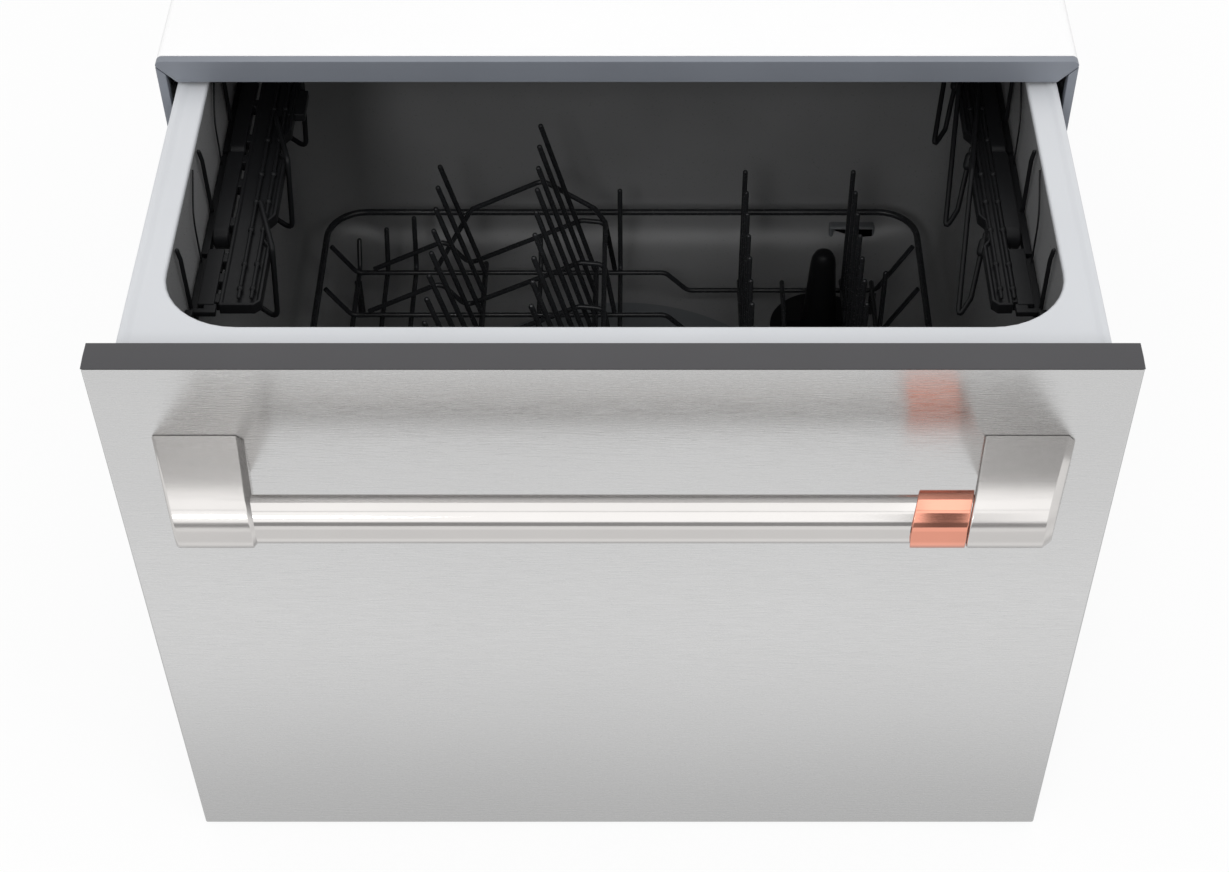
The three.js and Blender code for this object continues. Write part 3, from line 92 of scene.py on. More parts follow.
# The rack: its loop, its two levels of wires, and the outermost wires on the left and right.
GRID_BACK = DOOR_Y + 438
STATION_PITCH, TINE_PITCH = 50, 25
LOOP_HALF = edge_of("rack_loop", 1, 0) - 2.6
LOOP_Z, GRID_Z, LOW_Z = 168, 140, 121
LEFT_WIRE, RIGHT_WIRE = -213, 203

# The cup shelves: the axis they fold on, their top, and how far behind the door shelves and rails reach.
SHELF_Z = RIM_TOP - 49
SHELF_TOP = SHELF_Z + 1
SHELF_PIVOT = edge_of("cup_rail_right", 1, 0) - 2.5
SHELF_FRONT, SHELF_BACK = 126, 408
RAIL_FRONT, RAIL_BACK = 112, 422


# ---- Sizes and colours a user may change ----


def length(name, description, default):
    return bpy.props.FloatProperty(name=name, description=description, default=default, unit="LENGTH", min=0)


def colour(name, description, default):
    return bpy.props.FloatVectorProperty(
        name=name, description=description, default=default, subtype="COLOR", size=3, min=0, max=1
    )


def amount(name, description, default):
    return bpy.props.FloatProperty(
        name=name, description=description, default=default, subtype="FACTOR", min=0, max=1
    )


class DoorSettings(bpy.types.PropertyGroup):
    skin_edge: length("Skin Edge", "Radius of the fold round the steel skin", 1.6 * MM)
    cap_edge: length("Cap Edge", "Radius of the cap's edges", 0.7 * MM)
    trim_edge: length("Trim Edge", "Radius of the trim's edges", 0.6 * MM)


class HandleSettings(bpy.types.PropertyGroup):
    post_chamfer: length("Post Chamfer", "Width of the chamfer round the posts' outer faces", 4.2 * MM)
    post_edge: length("Post Edge", "Radius of the posts' edges", 0.5 * MM)
    sleeve_edge: length("Sleeve Edge", "Radius of the copper sleeve's edges", 0.7 * MM)


class TubSettings(bpy.types.PropertyGroup):
    floor_fillet: length("Floor Fillet", "Radius between the tub's walls and floor", 48 * MM)


class RackSettings(bpy.types.PropertyGroup):
    wire: length("Wire", "Radius of the coated wires", 2.0 * MM)
    loop_wire: length("Loop Wire", "Radius of the loop round the rack", 2.6 * MM)
    bend: length("Bend", "Radius of the bends in the wires", 9 * MM)
    prong: length("Prong", "Radius of the cup shelves' wires", 1.8 * MM)
    hanger: length("Hanger", "Radius of the wires that hang the shelves' rails", 1.4 * MM)


class FinishSettings(bpy.types.PropertyGroup):
    steel: colour("Steel", "Brushed steel of the door", (0.67, 0.669, 0.668))
    handle: colour("Handle Steel", "Satin steel of the bar and posts", (0.655, 0.635, 0.62))
    copper: colour("Copper", "Sleeve on the bar", (0.83, 0.355, 0.255))
    cap: colour("Cap", "Grey strip on the door's top edge", (0.042, 0.041, 0.045))
    trim: colour("Trim", "Slate grey trim round the cabinet", (0.205, 0.222, 0.255))
    rim: colour("Rim", "Pale grey rim round the tub", (0.62, 0.635, 0.66))
    tub: colour("Tub", "Dark grey tub", (0.215, 0.216, 0.219))
    wire: colour("Coated Wire", "Vinyl coating of the rack", (0.02, 0.021, 0.023))
    zinc: colour("Galvanised", "Cabinet panels and slides", (0.52, 0.54, 0.55))
    white: colour("White", "Painted cabinet top and lid", (0.93, 0.93, 0.93))


class StageSettings(bpy.types.PropertyGroup):
    floor_size: length("Floor Size", "Side of the studio floor", 16)
    floor_paint: amount("Floor Paint", "Lightness of the floor's paint", 0.95)
    floor_white: amount("Floor White", "How far the camera sees the floor as white", 0.9)
    mirrored_level: amount("Mirrored Level", "Strength of the world seen off two glossy faces in turn", 0.75)
    # Painted shade on the floor as gloss sees it: weaker glow at the door's foot, a painted shadow of the
    # door, and weaker again far in front.
    painted_foot_shadow: amount("Painted Foot Shadow", "Strength of the floor in gloss at the foot of the door", 0.66)
    painted_far_shade: amount("Painted Far Shade", "Strength of the floor in gloss far in front of the door", 0.87)
    world_level: amount("World Level", "Strength of the soft light all round", 0.76)


# ---- Making meshes ----


# Points closer than this, in millimetres, become one: in pieces made here, and in the CAD's meshes.
WELD, CAD_WELD = 0.001, 0.004


def to_metres(bm):
    bmesh.ops.scale(bm, vec=Vector((MM, MM, MM)), verts=bm.verts)


def face_outwards(bm):
    bmesh.ops.recalc_face_normals(bm, faces=bm.faces)


def mesh_of(name, bm):
    """A mesh from a bmesh, which is freed."""
    mesh = bpy.data.meshes.new(name)
    bm.to_mesh(mesh)
    bm.free()
    return mesh


def placed(name, data):
    """An object in the scene with a mesh, a lamp or a camera."""
    made = bpy.data.objects.new(name, data)
    bpy.context.scene.collection.objects.link(made)
    return made


def smooth_to(mesh, sharp):
    """Shades a mesh smooth but for the edges that turn more sharply than an angle in degrees."""
    mesh.shade_smooth()
    mesh.set_sharp_from_angle(angle=math.radians(sharp))


def finish_piece(name, bm, node, finish=None, sharp=35.0):
    """Turns a bmesh in millimetres into a piece that rides with a CAD node and stands for it."""
    to_metres(bm)
    mesh = mesh_of(name, bm)
    smooth_to(mesh, sharp)
    piece = placed(name, mesh)
    piece.modifiers.new("flat faces", "WEIGHTED_NORMAL").keep_sharp = True
    slot = SLOT_OF[node]
    mesh.materials.append(finish_of(finish or slot))
    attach(piece, BODY_OF[node])
    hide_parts(node)
    return piece


def copy_of(node):
    """A merged copy of a CAD node's mesh, in millimetres, with its flat faces whole again."""
    bm = bmesh.new()
    bm.from_mesh(frame["nodes"][node].data)
    bmesh.ops.scale(bm, vec=Vector((1 / MM, 1 / MM, 1 / MM)), verts=bm.verts)
    bmesh.ops.remove_doubles(bm, verts=bm.verts, dist=CAD_WELD)
    bmesh.ops.dissolve_limit(
        bm, angle_limit=math.radians(1), use_dissolve_boundaries=False, verts=bm.verts, edges=bm.edges
    )
    return bm


def bevel(bm, edges, width, steps):
    """Chamfers edges in one step, or rounds them in several."""
    bmesh.ops.bevel(
        bm, geom=edges, offset=width, offset_type="OFFSET", segments=steps, profile=0.5,
        affect="EDGES", clamp_overlap=True, material=-1,
    )


def soften(bm, radius, steps=2, angle=25.0):
    """Rounds the edges that turn more sharply than an angle in degrees."""
    turn = math.radians(angle)
    bevel(bm, [e for e in bm.edges if len(e.link_faces) == 2 and e.calc_face_angle() > turn], radius, steps)
    return bm


def loop_of(bm, points):
    """A closed ring of edges through points."""
    verts = [bm.verts.new(p) for p in points]
    return [bm.edges.new((verts[i - 1], verts[i])) for i in range(len(verts))]


def stack(loops, closed):
    """Bridges each loop of points to the next; the ends are joined if closed, else capped."""
    bm = bmesh.new()
    rings = [loop_of(bm, points) for points in loops]
    pairs = list(zip(rings, rings[1:])) + ([(rings[-1], rings[0])] if closed else [])
    for a, b in pairs:
        bmesh.ops.bridge_loops(bm, edges=a + b)
    if not closed:
        for ring in (rings[0], rings[-1]):
            bmesh.ops.contextual_create(bm, geom=ring)
    face_outwards(bm)
    return bm


def rounded(x0, x1, y0, y1, radius, z, steps=10):
    """Points of a rectangle with round corners at a height."""
    corners = [(x1 - radius, y0 + radius, -1), (x1 - radius, y1 - radius, 0),
               (x0 + radius, y1 - radius, 1), (x0 + radius, y0 + radius, 2)]
    points = []
    for x, y, start in corners:
        for i in range(steps + 1):
            angle = QUARTER * (start + i / steps)
            points.append((x + radius * math.cos(angle), y + radius * math.sin(angle), z))
    return points


def slab(bm, outline, along):
    """A face through points, drawn out along a vector."""
    face = bm.faces.new([bm.verts.new(p) for p in outline])
    made = bmesh.ops.extrude_face_region(bm, geom=[face])
    verts = [item for item in made["geom"] if isinstance(item, bmesh.types.BMVert)]
    bmesh.ops.translate(bm, vec=Vector(along), verts=verts)
    face_outwards(bm)
    return bm


def block(bm, x0, x1, y0, y1, z0, z1):
    """A box between two corners."""
    place = Matrix.Translation(((x0 + x1) / 2, (y0 + y1) / 2, (z0 + z1) / 2))
    size = Matrix.Diagonal((abs(x1 - x0), abs(y1 - y0), abs(z1 - z0), 1))
    return bmesh.ops.create_cube(bm, size=1, matrix=place @ size)["verts"]


def turned(bm, profile, x, y, steps=64):
    """A profile of radius and height spun about an upright axis."""
    verts = [bm.verts.new((x + radius, y, z)) for radius, z in profile]
    edges = [bm.edges.new(pair) for pair in zip(verts, verts[1:])]
    bmesh.ops.spin(
        bm, geom=verts + edges, cent=(x, y, 0), axis=(0, 0, 1), dvec=(0, 0, 0),
        angle=WHOLE, steps=steps, use_merge=True, use_duplicate=False,
    )
    bmesh.ops.remove_doubles(bm, verts=bm.verts, dist=WELD)
    face_outwards(bm)
    return bm


# Wires: a turn too small to round, the share of a leg that a bend may take, and a tip's rings in radians.
STRAIGHT, LEG_SHARE = 0.03, 0.45
DOME_ANGLES = (0, 0.45, 0.85, 1.2, 1.5)


def bent(points, radius, steps=5):
    """A path with its corners rounded."""
    points = [Vector(p) for p in points]
    path = [points[0]]
    for before, corner, after in zip(points, points[1:], points[2:]):
        to_before, to_after = (before - corner), (after - corner)
        turn = math.pi - to_before.angle(to_after)
        if turn < STRAIGHT:
            path.append(corner)
            continue
        longest = LEG_SHARE * min(to_before.length, to_after.length)
        reach = min(radius * math.tan(turn / 2), longest)
        start = corner + to_before.normalized() * reach
        end = corner + to_after.normalized() * reach
        for i in range(steps + 1):
            t = i / steps
            path.append((1 - t) ** 2 * start + 2 * t * (1 - t) * corner + t ** 2 * end)
    path.append(points[-1])
    return path


def domed(tip, inner, radius):
    """Places and radii of the rings that round off a wire's tip."""
    out = (tip - inner).normalized()
    places = [tip + out * (radius * (math.sin(a) - 1)) for a in DOME_ANGLES]
    return places, [radius * math.cos(a) for a in DOME_ANGLES]


def sweep(bm, path, radius, sides=10, dome=(False, False), closed=False):
    """A round wire along a path; a domed end is a rounded tip."""
    path = [Vector(p) for p in path]
    radii = [radius] * len(path)
    if closed:
        path.append(path[0].copy())
        radii.append(radius)
    if dome[0]:
        places, sizes = domed(path[0], path[1], radius)
        path[:1], radii[:1] = places[::-1], sizes[::-1]
    if dome[1]:
        path[-1:], radii[-1:] = domed(path[-1], path[-2], radius)
    last = len(path) - 1
    heading = (path[1] - path[0]).normalized()
    turn = Vector((0, 0, 1)).rotation_difference(heading)
    rings = []
    for i in range(last + 1):
        if closed and i == last:
            rings.append(rings[0])
            break
        after, before = ((i + 1) % last, (i - 1) % last) if closed else (min(i + 1, last), max(i - 1, 0))
        ahead = (path[after] - path[before]).normalized()
        turn = heading.rotation_difference(ahead) @ turn
        heading = ahead
        place = Matrix.Translation(path[i]) @ turn.to_matrix().to_4x4()
        made = bmesh.ops.create_circle(bm, cap_ends=False, segments=sides, radius=radii[i], matrix=place)
        rings.append(list({e for v in made["verts"] for e in v.link_edges}))
    faces_before = set(bm.faces)
    for a, b in zip(rings, rings[1:]):
        bmesh.ops.bridge_loops(bm, edges=a + b)
    if not closed:
        for ring in (rings[0], rings[-1]):
            bmesh.ops.contextual_create(bm, geom=ring)
    made_faces = [f for f in bm.faces if f not in faces_before]
    bmesh.ops.recalc_face_normals(bm, faces=made_faces)
    return bm


def along_x(bm, profile, x0, x1):
    """An outline of y and z points drawn out along X."""
    return slab(bm, [(x0, y, z) for y, z in profile], (x1 - x0, 0, 0))


# ---- Finishes: every pattern reads Object coordinates, in metres ----


def node_in(tree, kind, inputs=None, **settings):
    """A shader node with settings and input values, or links from other nodes' sockets."""
    made = tree.nodes.new(kind)
    for key, value in settings.items():
        setattr(made, key, value)
    for key, value in (inputs or {}).items():
        if isinstance(value, bpy.types.NodeSocket):
            tree.links.new(value, made.inputs[key])
        else:
            made.inputs[key].default_value = value
    return made


def maths(tree, operation, *values):
    """The result of a Math node."""
    return node_in(tree, "ShaderNodeMath", dict(enumerate(values)), operation=operation).outputs[0]


def ranged(tree, value, before, after, **settings):
    """A value mapped from one range onto another."""
    ends = {"From Min": before[0], "From Max": before[1], "To Min": after[0], "To Max": after[1]}
    return node_in(tree, "ShaderNodeMapRange", {"Value": value, **ends}, **settings).outputs[0]


def pattern(tree, scale, stretch=(1, 1, 1)):
    """Noise in object space; a stretch above 1 makes it finer along that axis."""
    place = node_in(tree, "ShaderNodeTexCoord").outputs["Object"]
    mapped = node_in(tree, "ShaderNodeMapping", {"Vector": place, "Scale": stretch}).outputs[0]
    noise = {"Vector": mapped, "Scale": scale, "Detail": 3.0, "Roughness": 0.55}
    return node_in(tree, "ShaderNodeTexNoise", noise).outputs["Fac"]


def spread(tree, source, low, high):
    """Maps the middle of a pattern's values onto a range."""
    return ranged(tree, source, (0.3, 0.7), (low, high))


def tinted(tree, fac, dark, light):
    """A colour between two, by a pattern."""
    mix = node_in(tree, "ShaderNodeMix", data_type="RGBA")
    tree.links.new(fac, mix.inputs[0])
    mix.inputs[6].default_value = (*dark, 1)
    mix.inputs[7].default_value = (*light, 1)
    return mix.outputs[2]


def shaded(rgb, factor):
    return tuple(min(1.0, channel * factor) for channel in rgb)


def surface(name, rgb, metal, rough, patches, grain, relief, brushed=0.0, shine=0.5):
    """A finish with broad patches in its colour and a fine grain, along X if brushed, in gloss and relief.

    Patches are a scale and a strength, the grain a scale, a stretch and a strength; the relief is in metres.
    """
    material = bpy.data.materials.new(name)
    material.use_nodes = True
    tree = material.node_tree
    shader = tree.nodes["Principled BSDF"]
    shader.inputs["Metallic"].default_value = metal
    shader.inputs["Specular IOR Level"].default_value = shine
    if brushed:
        shader.inputs["Anisotropic"].default_value = brushed
        across = node_in(tree, "ShaderNodeCombineXYZ", {"X": 0, "Y": 0.2, "Z": 1}).outputs[0]
        tree.links.new(across, shader.inputs["Tangent"])
    scale, strength = patches
    broad = spread(tree, pattern(tree, scale), 0, 1)
    colour_out = tinted(tree, broad, shaded(rgb, 1 - strength), shaded(rgb, 1 + strength))
    tree.links.new(colour_out, shader.inputs["Base Color"])
    scale, stretch, strength = grain
    fine = pattern(tree, scale, stretch)
    tree.links.new(spread(tree, fine, rough - strength, rough + strength), shader.inputs["Roughness"])
    bump = {"Height": fine, "Strength": 1.0, "Distance": relief}
    tree.links.new(node_in(tree, "ShaderNodeBump", bump).outputs[0], shader.inputs["Normal"])
    return material


def make_finishes(chosen):
    """The part's finishes: name, colour, metal, roughness, patches, grain, relief, brushed and shine."""
    along = (0.02, 1, 1)
    even = (1, 1, 1)
    near_black = (0.008, 0.0082, 0.009)
    mid_grey = (0.15, 0.158, 0.166)
    off_white = (0.78, 0.79, 0.78)
    black_rubber = (0.02, 0.02, 0.021)
    table = {
        "door_steel": ("brushed steel", chosen.steel, 1, 0.25, (4, 0.015), (4000, along, 0.09), 2e-6, 0.75),
        "handle_steel": ("satin steel", chosen.handle, 1, 0.12, (14, 0.02), (1800, along, 0.02), 2e-6),
        "post_steel": ("satin casting", chosen.handle, 1, 0.2, (14, 0.02), (1800, along, 0.03), 2e-6),
        "copper": ("polished copper", chosen.copper, 1, 0.07, (22, 0.03), (1600, along, 0.015), 1e-6),
        "cap_grey": ("cap plastic", chosen.cap, 0, 0.42, (16, 0.05), (1500, even, 0.06), 20e-6),
        "bezel_grey": ("painted trim", chosen.trim, 0, 0.46, (12, 0.05), (1300, even, 0.06), 20e-6),
        "rim_grey": ("rim plastic", chosen.rim, 0, 0.38, (7, 0.025), (1100, even, 0.05), 15e-6),
        "tub_grey": ("tub plastic", chosen.tub, 0, 0.33, (6, 0.1), (700, even, 0.07), 30e-6),
        "coated_wire": ("vinyl coated wire", chosen.wire, 0, 0.24, (30, 0.15), (900, even, 0.05), 10e-6),
        "dark_plastic": ("dark plastic", near_black, 0, 0.4, (14, 0.1), (900, even, 0.07), 20e-6, 0, 0.15),
        "mid_plastic": ("grey plastic", mid_grey, 0, 0.42, (14, 0.06), (900, even, 0.07), 30e-6),
        "white_steel": ("white paint", chosen.white, 0, 0.35, (5, 0.01), (600, even, 0.04), 10e-6),
        "white_plastic": ("white plastic", off_white, 0, 0.4, (10, 0.02), (900, even, 0.05), 20e-6),
        "zinc_steel": ("galvanised steel", chosen.zinc, 1, 0.36, (70, 0.16), (260, even, 0.09), 12e-6),
        "rubber": ("rubber", black_rubber, 0, 0.75, (20, 0.1), (1200, even, 0.06), 40e-6),
    }
    return {slot: surface(*values) for slot, values in table.items()}


FINISHES = {}


def finish_of(name):
    """The finish with a material slot's name, or the cast posts' own."""
    if not FINISHES:
        FINISHES.update(make_finishes(bpy.context.scene.drawer_finishes))
    return FINISHES[name]


# ---- Helpers for the pieces ----


def soft_copy(node, radius, steps=2, angle=25.0):
    """A CAD node with rounded edges stands for the node."""
    return finish_piece(f"{node}_shell", soften(copy_of(node), radius, steps, angle), node)


def join_or_cut(piece, tool_bm, operation):
    """Adds a solid to a piece, or cuts it out, and keeps the piece's name and finish."""
    to_metres(tool_bm)
    tool = placed("tool", mesh_of("tool", tool_bm))
    flat = piece.modifiers["flat faces"]
    flat.show_viewport = False
    change = piece.modifiers.new("change", "BOOLEAN")
    change.object, change.operation, change.solver = tool, operation, "EXACT"
    seen = bpy.context.evaluated_depsgraph_get()
    result = bpy.data.meshes.new_from_object(piece.evaluated_get(seen), depsgraph=seen)
    piece.modifiers.remove(change)
    flat.show_viewport = True
    before, tool_mesh = piece.data, tool.data
    piece.data = result
    result.name = piece.name
    bpy.data.meshes.remove(before)
    bpy.data.objects.remove(tool)
    bpy.data.meshes.remove(tool_mesh)
    smooth_to(result, 35)


def long_wire(x, z, front, rise):
    """A wire of the grid from front to back, its rear end turned up."""
    past_front, bend_y, run = 12, GRID_BACK + 8, 16
    return [(x, front - past_front, z), (x, bend_y, z), (x, bend_y + run, z + rise)]


def lying_rod(bm, x0, x1, y, z, radius, sides=24):
    """A round rod along X with softened ends."""
    place = Matrix.Translation(((x0 + x1) / 2, y, z)) @ Matrix.Rotation(QUARTER, 4, "Y")
    made = bmesh.ops.create_cone(
        bm, cap_ends=True, segments=sides, radius1=radius, radius2=radius, depth=abs(x1 - x0), matrix=place
    )
    ends = {f for v in made["verts"] for f in v.link_faces if len(f.verts) == sides}
    bevel(bm, list({e for f in ends for e in f.edges}), 0.15 * radius, 2)


def shelf_rail(word, sign, hanger):
    """The rail on the tub's wall, its eyes, and the wires that hang it from the rim."""
    wall, inner, low = SHELF_PIVOT + 2.5, SHELF_PIVOT - 2.5, SHELF_Z - 12
    eye, eye_half = 6, 4.5
    front, back = DOOR_Y + RAIL_FRONT, DOOR_Y + RAIL_BACK
    bm = bmesh.new()
    for start, end in ((front, DOOR_Y + 176), (DOOR_Y + 180, DOOR_Y + 280), (DOOR_Y + 284, back)):
        block(bm, sign * inner, sign * wall, start, end, low, SHELF_Z - eye_half)
    block(bm, sign * (wall - 2), sign * wall, front, back, low + 1, low + 5)
    for y in (front, back - eye):
        block(bm, sign * inner, sign * wall, y, y + eye, low, SHELF_Z + eye_half)
    soften(bm, 0.8, 2)
    side = sign * (wall - hanger - 0.1)
    foot = low + 3
    for place in (127, 222, 317):
        y = DOOR_Y + place
        ends = [(side, y, foot), (side, y, RIM_TOP - 12), (side + sign * 1.3, y, RIM_TOP - 3.4)]
        sweep(bm, bent(ends, 8), hanger, dome=(True, True))
    for place in (172, 270):
        y = DOOR_Y + place
        thin = [(side, y, foot), (side, y + 2, RIM_TOP - 18), (side + sign * 1.8, y + 30, RIM_TOP - 3)]
        sweep(bm, bent(thin, 20), 0.6, dome=(True, True))
    finish_piece(f"shelf_rail_{word}", bm, f"cup_rail_{word}")


def shelf_plate(bm, sign, inner, seat, low):
    """The shelf's plate with a notched inner edge and a sunk top."""
    notch, ramp, edge, sunk, slope = 4, 6, 2, 1.6, 0.6
    outline = [(seat, SHELF_FRONT), (seat, SHELF_BACK), (inner + notch, SHELF_BACK)]
    for start, end in ((354, 300), (270, 212), (182, 130)):
        outline += [(inner + notch, start + ramp), (inner, start), (inner, end), (inner + notch, end - ramp)]
    outline[-1] = (inner + notch, SHELF_FRONT)
    slab(bm, [(sign * x, DOOR_Y + y, low) for x, y in outline], (0, 0, SHELF_TOP - low))
    tops = [f for f in bm.faces if f.normal.z > 0.5]
    bmesh.ops.inset_region(bm, faces=tops, thickness=edge, depth=0, use_even_offset=True)
    bmesh.ops.inset_region(bm, faces=tops, thickness=slope, depth=-sunk, use_even_offset=True)


def shelf_spine(bm, sign, inner, outer, seat, low):
    """Spine with its barrels, the webs that carry it, the left shelf's clip, and the arms to the eyes."""
    spine, spine_top = outer - 10.5, SHELF_TOP + 0.6
    for start, end, barrel in ((SHELF_FRONT, 178, 0), (199, 276, 8), (284, SHELF_BACK, 6)):
        y = DOOR_Y + start
        block(bm, sign * spine, sign * outer, y, DOOR_Y + end, SHELF_TOP - 5, spine_top)
        if barrel:
            lying_rod(bm, sign * spine, sign * outer, y, spine_top - barrel, barrel)
    for place in (133, 152, 171, 206, 245, 270, 292, 330, 368, 400):
        y = DOOR_Y + place
        block(bm, sign * (seat - 1), sign * (spine + 1), y - 4, y + 4, low, SHELF_TOP - 0.4)
    if sign < 0:
        block(bm, -inner + 7, -inner - 5, DOOR_Y + 318, DOOR_Y + 345, low + 1, SHELF_TOP - 1)
    for end, edge in ((-1, DOOR_Y + SHELF_FRONT), (1, DOOR_Y + SHELF_BACK)):
        for reach, y0, y1 in ((SHELF_PIVOT, end * 3, end * 7), (outer - 4, -end, end * 4)):
            block(bm, sign * (outer - 12), sign * reach, edge + y0, edge + y1, SHELF_TOP - 4, SHELF_TOP)
    soften(bm, 0.7, 2, 40)


def shelf_prongs(bm, sign, low, wire):
    """Three wires hooked down from the shelf's top and back under it; on the right each has a sleeve."""
    wire_x, level = SHELF_PIVOT - 29.5, SHELF_TOP + wire + 0.6
    for tip in (163, 251, 339):
        y = DOOR_Y + tip
        if sign < 0:
            drop = [(wire_x - 2, y + 60, level), (wire_x - 15, y + 14, level), (wire_x - 14, y, SHELF_Z - 45)]
            drop += [(wire_x - 2, y + 6, SHELF_Z - 40), (wire_x + 2, y + 26, low + 1)]
        else:
            rear = min(y + 182, DOOR_Y + SHELF_BACK - 6)
            drop = [(wire_x + 14, rear, level), (wire_x, min(y + 91, rear - 4), level)]
            drop += [(wire_x - 13, y, SHELF_Z - 45), (wire_x - 4, y + 12, SHELF_Z - 38)]
            drop += [(wire_x + 1, y + 28, SHELF_Z - 20), (wire_x + 5, y + 40, low + 1)]
        sweep(bm, bent([(sign * x, y, z) for x, y, z in drop], 5), wire, dome=(True, True))
        if sign > 0:
            sleeve = [(wire_x + 1.5, y + 29, SHELF_Z - 18), (wire_x + 4.5, y + 38, SHELF_Z - 9)]
            sweep(bm, sleeve, wire + 1.6, 14, dome=(True, True))


def cup_shelf(word, sign, wire):
    """A shelf that folds up on the rail's eyes: plate, spine, hinge pins, ribs and wire prongs."""
    outer = SHELF_PIVOT - 3.5
    inner = outer - (39 if sign < 0 else 26)
    seat, low = outer - 13, SHELF_TOP - 8
    bm = bmesh.new()
    shelf_plate(bm, sign, inner, seat, low)
    shelf_spine(bm, sign, inner, outer, seat, low)
    for start, end in ((RAIL_FRONT, SHELF_FRONT - 6.5), (SHELF_BACK + 6.5, RAIL_BACK)):
        sweep(bm, [(sign * SHELF_PIVOT, DOOR_Y + y, SHELF_Z) for y in (start, end)], 1.6, 12)
    run = SHELF_TOP + 0.4
    for x in (inner + 6, inner + 14):
        ends = [(sign * x, DOOR_Y + y, run) for y in (SHELF_FRONT + 5, SHELF_BACK - 5)]
        sweep(bm, ends, 1.3, dome=(True, True))
        for place in (140, 163, 196, 224, 252, 288, 322, 352, 384):
            y = DOOR_Y + place
            sweep(bm, [(sign * x, y - 2.4, run), (sign * x, y + 2.4, run)], 2.1, 12, dome=(True, True))
    shelf_prongs(bm, sign, low, wire)
    finish_piece(f"folding_shelf_{word}", bm, f"cup_shelf_{word}", sharp=50)


# ---- Studio: lamps and cards stand round the handle, in metres ----


STUDIO_REACH = 2.6
CARD_REACH = 2.5


def over_handle(angle, reach=STUDIO_REACH):
    """A point in metres at an angle from straight above the handle towards the front."""
    return Vector((0, BAR_Y * MM - reach * math.sin(angle), BAR_Z * MM + reach * math.cos(angle)))


def empty_material(name):
    """A node material with nothing in its tree yet."""
    material = bpy.data.materials.new(name)
    material.use_nodes = True
    material.node_tree.nodes.clear()
    return material


def output_mix(tree, share, base, level):
    """Ends a material in a mix of a shader and white glow."""
    glow = node_in(tree, "ShaderNodeEmission", {"Color": (1, 1, 1, 1), "Strength": level}).outputs[0]
    mixed = node_in(tree, "ShaderNodeMixShader", {0: share, 1: base, 2: glow}).outputs[0]
    node_in(tree, "ShaderNodeOutputMaterial", {"Surface": mixed})


def glowing(name, level, bounces):
    """A glowing finish that is clear unless a ray has left just this many glossy surfaces."""
    material = empty_material(name)
    tree = material.node_tree
    depth = tree.nodes.new("ShaderNodeLightPath").outputs["Glossy Depth"]
    shown = maths(tree, "COMPARE", depth, bounces, 0.5)
    output_mix(tree, shown, tree.nodes.new("ShaderNodeBsdfTransparent").outputs[0], level)
    return material


def grey_card(name, level, sides, angles, reach=CARD_REACH, bounces=1):
    """A curved card round the handle that shows only in gloss, between two sides and two angles."""
    start, end = (math.radians(a) for a in angles)
    bm = bmesh.new()
    verts = [bm.verts.new(Vector((x, 0, 0)) + over_handle(start, reach)) for x in sides]
    edge = bm.edges.new(verts)
    bmesh.ops.spin(
        bm, geom=[*verts, edge], cent=over_handle(0, 0), axis=(1, 0, 0), dvec=(0, 0, 0),
        angle=end - start, steps=16, use_merge=False, use_duplicate=False,
    )
    mesh = mesh_of(name, bm)
    card = placed(name, mesh)
    mesh.materials.append(glowing(name, level, bounces))
    card.visible_camera = card.visible_diffuse = card.visible_transmission = card.visible_shadow = False


def softbox(name, level, wide, angles, side=0.0, gloss=True):
    """A lamp round the handle, between two angles, that adds a level to the white studio."""
    start, end = (math.radians(a) for a in angles)
    middle = (start + end) / 2
    long = 2 * STUDIO_REACH * math.tan((end - start) / 2)
    light = bpy.data.lights.new(name, "AREA")
    light.shape, light.size, light.size_y = "RECTANGLE", wide, long
    light.energy = math.pi * level * wide * long
    lamp = placed(name, light)
    lamp.location = over_handle(middle) + Vector((side, 0, 0))
    lamp.rotation_euler = (middle, 0, 0)
    lamp.visible_camera = False
    lamp.visible_glossy = gloss


def seen_share(tree, by_camera):
    """How far the camera sees plain white; a ray off gloss or through glass sees it wholly."""
    rays = tree.nodes.new("ShaderNodeLightPath").outputs
    by_eye = maths(tree, "MULTIPLY", rays["Is Camera Ray"], by_camera)
    reflected = maths(tree, "MAXIMUM", rays["Is Glossy Ray"], rays["Is Transmission Ray"])
    return maths(tree, "MAXIMUM", by_eye, reflected)


def floor_finish(stage):
    """Pale floor with a soft shadow, almost white for the camera; in gloss its glow carries painted shade: a
    painted shadow of the door at its foot, and painted dimming farther out.
    """
    material = empty_material("studio floor")
    tree = material.node_tree
    share = seen_share(tree, stage.floor_white)
    place = node_in(tree, "ShaderNodeTexCoord").outputs["Object"]
    row = node_in(tree, "ShaderNodeSeparateXYZ", {"Vector": place}).outputs["Y"]
    foot = DOOR_Y * MM
    lit, far = foot - 0.2, foot - 0.36  # metres in front of the door where the painted shade in gloss ends and the floor shows whitest, and where the painted dimming is full
    # Painted shade: in gloss the floor glows weaker towards the door's foot, a painted shadow of the door,
    # and weaker again farther out.
    rise = ranged(tree, row, (foot, lit), (stage.painted_foot_shadow, 1.0), interpolation_type="SMOOTHSTEP")
    painted_far_dimming = ranged(tree, row, (lit, far), (1.0, stage.painted_far_shade), interpolation_type="SMOOTHSTEP")
    by_eye = tree.nodes.new("ShaderNodeLightPath").outputs["Is Camera Ray"]
    level = ranged(tree, by_eye, (0, 1), (maths(tree, "MULTIPLY", rise, painted_far_dimming), 1.0))
    paint = node_in(tree, "ShaderNodeBsdfDiffuse", {"Color": (*[stage.floor_paint] * 3, 1)}).outputs[0]
    output_mix(tree, share, paint, level)
    return material


# ---- Operators: one for each piece or group of like pieces ----


